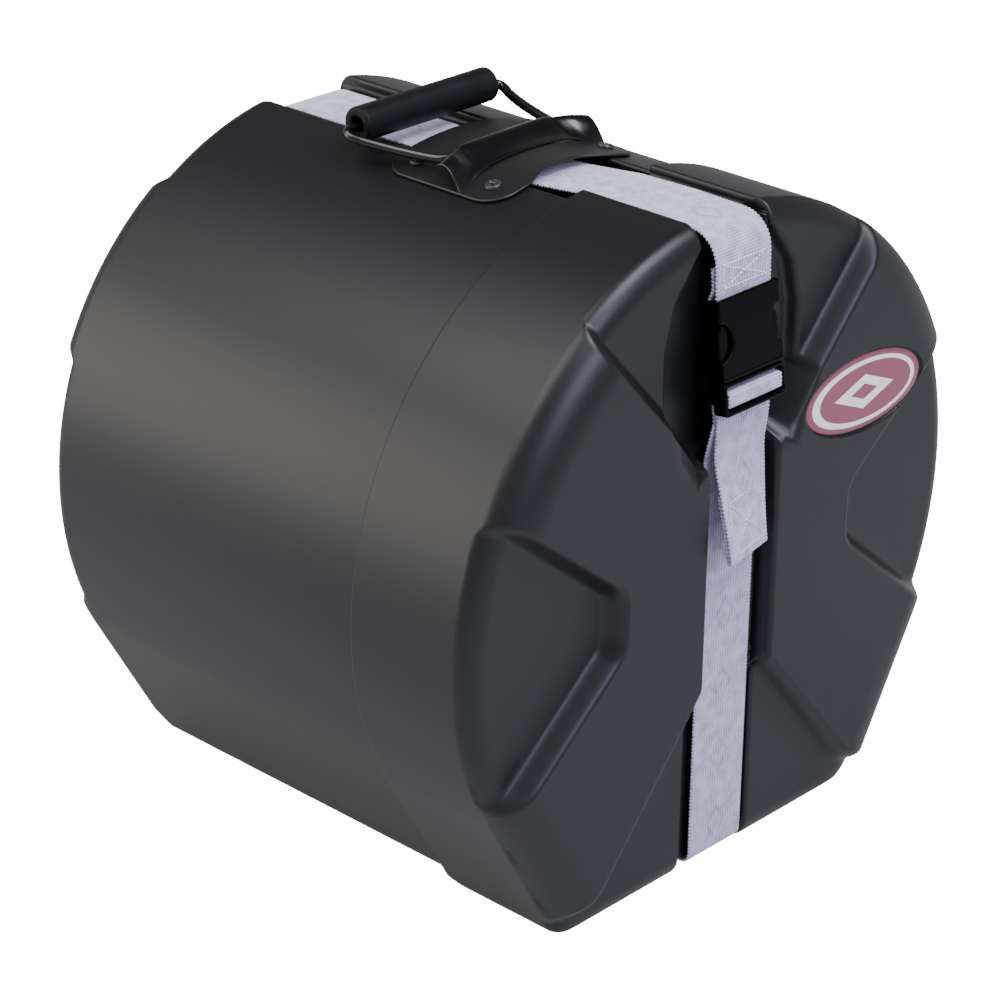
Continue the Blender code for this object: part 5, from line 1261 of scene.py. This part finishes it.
class MESH_OT_drum_case_badge(bpy.types.Operator):
    """Makes the domed oval label: (0.3 + 0.8 sqrt(1 - r^8)) mm thick, over its recess"""
    bl_idname = "mesh.drum_case_badge"
    bl_label = "Badge"

    def execute(self, context):
        turn = np.linspace(0, 2 * pi, BADGE_STEPS, endpoint=False)
        share = np.concatenate([[0.001], np.linspace(0.1, 0.9, 9), [0.94, 0.97, 0.985, 0.995, 1.0]])
        uv = np.stack([np.outer(share, np.cos(turn)), np.outer(share, np.sin(turn))], -1).reshape(-1, 2)
        flat = badge_place(uv[:, 0] * (BADGE_HALF_LENGTH - BADGE_PLAY),
                           uv[:, 1] * (BADGE_HALF_HEIGHT - BADGE_PLAY))
        dome = BADGE_RIM + BADGE_DOME * np.sqrt(np.maximum(1 - np.repeat(share, len(turn)) ** 8, 0))
        back = FRONT_Y + BADGE_RECESS - 0.0001
        top = np.stack([flat[:, 0], back - dome, flat[:, 1]], 1)
        points = np.vstack([top, top[-len(turn):] * [1, 0, 1] + [0, back, 0]])
        shape = (points, oriented(points, capped_rings(len(share) + 1, len(turn))), None)
        label = printed_vinyl(context.scene.drum_case_colours)
        badge = make_piece("oval_badge", shape, label, "lid", np.vstack([uv, uv[-len(turn):]]), radians(60))
        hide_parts("badge")
        return {"FINISHED"}


class MESH_OT_drum_case_foam(bpy.types.Operator):
    """Makes the foam lining and the two end pads"""
    bl_idname = "mesh.drum_case_foam"
    bl_label = "Foam"

    def execute(self, context):
        sizes = context.scene.drum_case_sizes
        foam = polyurethane_foam()
        outer, inner = (even_outline(foam_outline(sizes, inset, notch), LINING_POINTS) for inset, notch in (
            (LINING_INSET, LINING_NOTCH), (LINING_INSET + LINING_THICKNESS, LINING_INNER_NOTCH)))
        shape = frame_slab(outer, inner, LINING_LOW, LINING_HIGH, LINING_EDGE)
        lining = make_piece("wall_lining_foam", shape, foam, "base")
        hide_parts("base_wall_lining")
        outline = foam_outline(sizes, PAD_INSET, PAD_NOTCH)
        for name, y, body, node in (("lid_pad_foam", PAD_LID_Y, "lid", "lid_end_pad"),
                                    ("base_pad_foam", PAD_BASE_Y, "base", "base_end_pad")):
            pad = make_piece(name, slab(outline, y, y + PAD_THICKNESS, PAD_FOAM_EDGE), foam, body)
            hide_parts(node)
        return {"FINISHED"}


def colour(name, hex_colour, description):
    """A colour that a user can change"""
    return FloatVectorProperty(name=name, description=description, default=linear(hex_colour), size=4, min=0,
                               max=1, subtype="COLOR")


def metres(name, default, description):
    """A length in metres that a user can change"""
    return FloatProperty(name=name, description=description, default=default, unit="LENGTH")


def degrees(name, default, description):
    """An angle that a user can change, from its default in degrees"""
    return FloatProperty(name=name, description=description, default=radians(default), subtype="ANGLE",
                         unit="ROTATION")


class DrumCaseSizes(bpy.types.PropertyGroup):
    radius: metres("Radius", 0.228, "Outside radius of the lid")
    flat_cut: metres("Flat cut", 0.0134, "How deep the flat foot cuts into the circle")
    flat_half_width: metres("Flat half width", 0.14, "Half the foot's width, before its rounds")
    foot_radius: metres("Foot radius", 0.021, "Round between the foot and the flank")


class DrumCaseColours(bpy.types.PropertyGroup):
    shell: colour("Shell", "0A0A0E", "Polyethylene of the lid and the base")
    # The webbing's dark colour also stands for painted shade between the threads, its pale one for painted
    # light
    webbing_dark_and_painted_shade: colour("Webbing, shade", "5C5872", "Nylon between the ribs of the weave")
    webbing_pale_and_painted_light: colour("Webbing, light", "DCD8F2", "Nylon on top of the ribs of the weave")
    plate_paint: colour("Plate paint", "0C0C0D", "Satin paint of the handle's plate")
    handle_paint: colour("Handle paint", "030305", "Gloss paint of the hinge cover and the wire")
    buckle: colour("Buckle", "030304", "Acetal of the buckle")
    label_ground: colour("Label ground", "8E4E5E", "Ground of the oval label")
    label_ink: colour("Label ink", "F1EDEF", "Ring and lozenge of the oval label")


class DrumCaseStage(bpy.types.PropertyGroup):
    azimuth: degrees("Camera azimuth", -46.76, "Angle of the camera round the case")
    elevation: degrees("Camera elevation", 25.27, "Angle of the camera above the floor")
    roll: degrees("Camera roll", 0.63, "Turn of the camera about its line of sight")
    distance: metres("Camera distance", 2.1614, "From the point looked at")
    target: FloatVectorProperty(name="Point looked at", description="Where the middle of the picture falls",
                                default=(-0.00114, 0.00325, 0.19334), subtype="XYZ", unit="LENGTH")
    lens: FloatProperty(name="Lens", description="Focal length in mm for a 36 mm sensor", default=118.93)
    ambient: FloatProperty(name="Ambient", description="Even light near the horizon", default=0.58)
    floor_glow: FloatProperty(name="Floor glow", description="Light from the white floor", default=0.22)


class SCENE_OT_drum_case_stage(bpy.types.Operator):
    """Makes the floor, the lights and the camera"""
    bl_idname = "scene.drum_case_stage"
    bl_label = "Stage"

    def execute(self, context):
        stage = context.scene.drum_case_stage
        reach = 6.0
        floor_mesh = bpy.data.meshes.new("studio_floor")
        corners = [(-reach, -reach, 0), (reach, -reach, 0), (reach, reach, 0), (-reach, reach, 0)]
        floor_mesh.from_pydata(corners, [], [(0, 1, 2, 3)])
        floor = bpy.data.objects.new("studio_floor", floor_mesh)
        context.scene.collection.objects.link(floor)
        paper, tree, shader = new_material("studio_paper")
        seen = add_node(tree, "LightPath", output="Is Camera Ray")
        glow = add_node(tree, "Math", (seen, BACKDROP, stage.floor_glow), operation="MULTIPLY_ADD")
        connect(shader, {"Base Color": linear("B8B8BA"), "Roughness": 0.9, "Emission Color": linear("FFFFFF"),
                         "Emission Strength": glow})
        floor_mesh.materials.append(paper)

        world = bpy.data.worlds.new("studio_world")
        world.use_nodes = True
        room = world.node_tree
        seen = add_node(room, "LightPath", output="Is Camera Ray")
        where = add_node(room, "TexCoord", output="Generated")
        darkness = add_node(room, "VectorMath", (where, DARK_SIDE), "Value", operation="DOT_PRODUCT")
        shade = add_node(room, "MapRange", {
            "Value": darkness, "From Min": DARK_FROM, "From Max": DARK_TO, "To Min": stage.ambient,
            "To Max": DARK_SHARE * stage.ambient}, interpolation_type="SMOOTHSTEP")
        strength = add_node(room, "Math", (seen, BACKDROP, shade), operation="MULTIPLY_ADD")
        connect(room.nodes["Background"], {"Color": linear("FFFFFF"), "Strength": strength})
        context.scene.world = world
        for name, place, size, power, tint in SOFTBOXES:
            lamp = bpy.data.lights.new(name, "AREA")
            lamp.shape, lamp.size, lamp.energy = "SQUARE", size, power
            lamp.color = linear(tint)[:3]
            light = bpy.data.objects.new(name, lamp)
            context.scene.collection.objects.link(light)
            light.location = place
            light.rotation_mode = "QUATERNION"
            light.rotation_quaternion = (Vector(LIGHT_TARGET) - Vector(place)).to_track_quat("-Z", "Y")

        camera_data = bpy.data.cameras.new("camera")
        camera_data.lens = stage.lens
        camera_data.sensor_width = 36
        camera_data.clip_start = 0.05
        camera = bpy.data.objects.new("camera", camera_data)
        context.scene.collection.objects.link(camera)
        a, e = stage.azimuth, stage.elevation
        back = Vector((sin(a) * cos(e), -cos(a) * cos(e), sin(e)))
        camera.location = Vector(stage.target) + back * stage.distance
        camera.rotation_mode = "QUATERNION"
        roll = Matrix.Rotation(stage.roll, 3, "Z").to_quaternion()
        camera.rotation_quaternion = (-back).to_track_quat("-Z", "Y") @ roll
        context.scene.camera = camera
        return {"FINISHED"}


class VIEW3D_PT_drum_case(bpy.types.Panel):
    """Lists the operators"""
    bl_idname = "VIEW3D_PT_drum_case"
    bl_label = "Drum Case"
    bl_space_type = "VIEW_3D"
    bl_region_type = "UI"
    bl_category = "Drum Case"

    def draw(self, context):
        for step in STEPS:
            self.layout.operator(step)


CLASSES = (DrumCaseStage, DrumCaseSizes, DrumCaseColours, SCENE_OT_drum_case_stage, MESH_OT_drum_case_shells,
           MESH_OT_drum_case_foam, MESH_OT_drum_case_handle, MESH_OT_drum_case_badge,
           MESH_OT_drum_case_buckle, MESH_OT_drum_case_straps, VIEW3D_PT_drum_case)
STEPS = ("scene.drum_case_stage", "mesh.drum_case_shells", "mesh.drum_case_foam", "mesh.drum_case_handle",
         "mesh.drum_case_badge", "mesh.drum_case_buckle", "mesh.drum_case_straps")


def register():
    for item in CLASSES:
        bpy.utils.register_class(item)
    bpy.types.Scene.drum_case_stage = PointerProperty(type=DrumCaseStage)
    bpy.types.Scene.drum_case_sizes = PointerProperty(type=DrumCaseSizes)
    bpy.types.Scene.drum_case_colours = PointerProperty(type=DrumCaseColours)


def unregister():
    del bpy.types.Scene.drum_case_colours
    del bpy.types.Scene.drum_case_sizes
    del bpy.types.Scene.drum_case_stage
    for item in reversed(CLASSES):
        bpy.utils.unregister_class(item)


def main():
    register()
    bpy.ops.scene.drum_case_stage()
    bpy.ops.mesh.drum_case_shells()
    bpy.ops.mesh.drum_case_foam()
    bpy.ops.mesh.drum_case_handle()
    bpy.ops.mesh.drum_case_badge()
    bpy.ops.mesh.drum_case_buckle()
    bpy.ops.mesh.drum_case_straps()


if __name__ == "__main__":
    main()
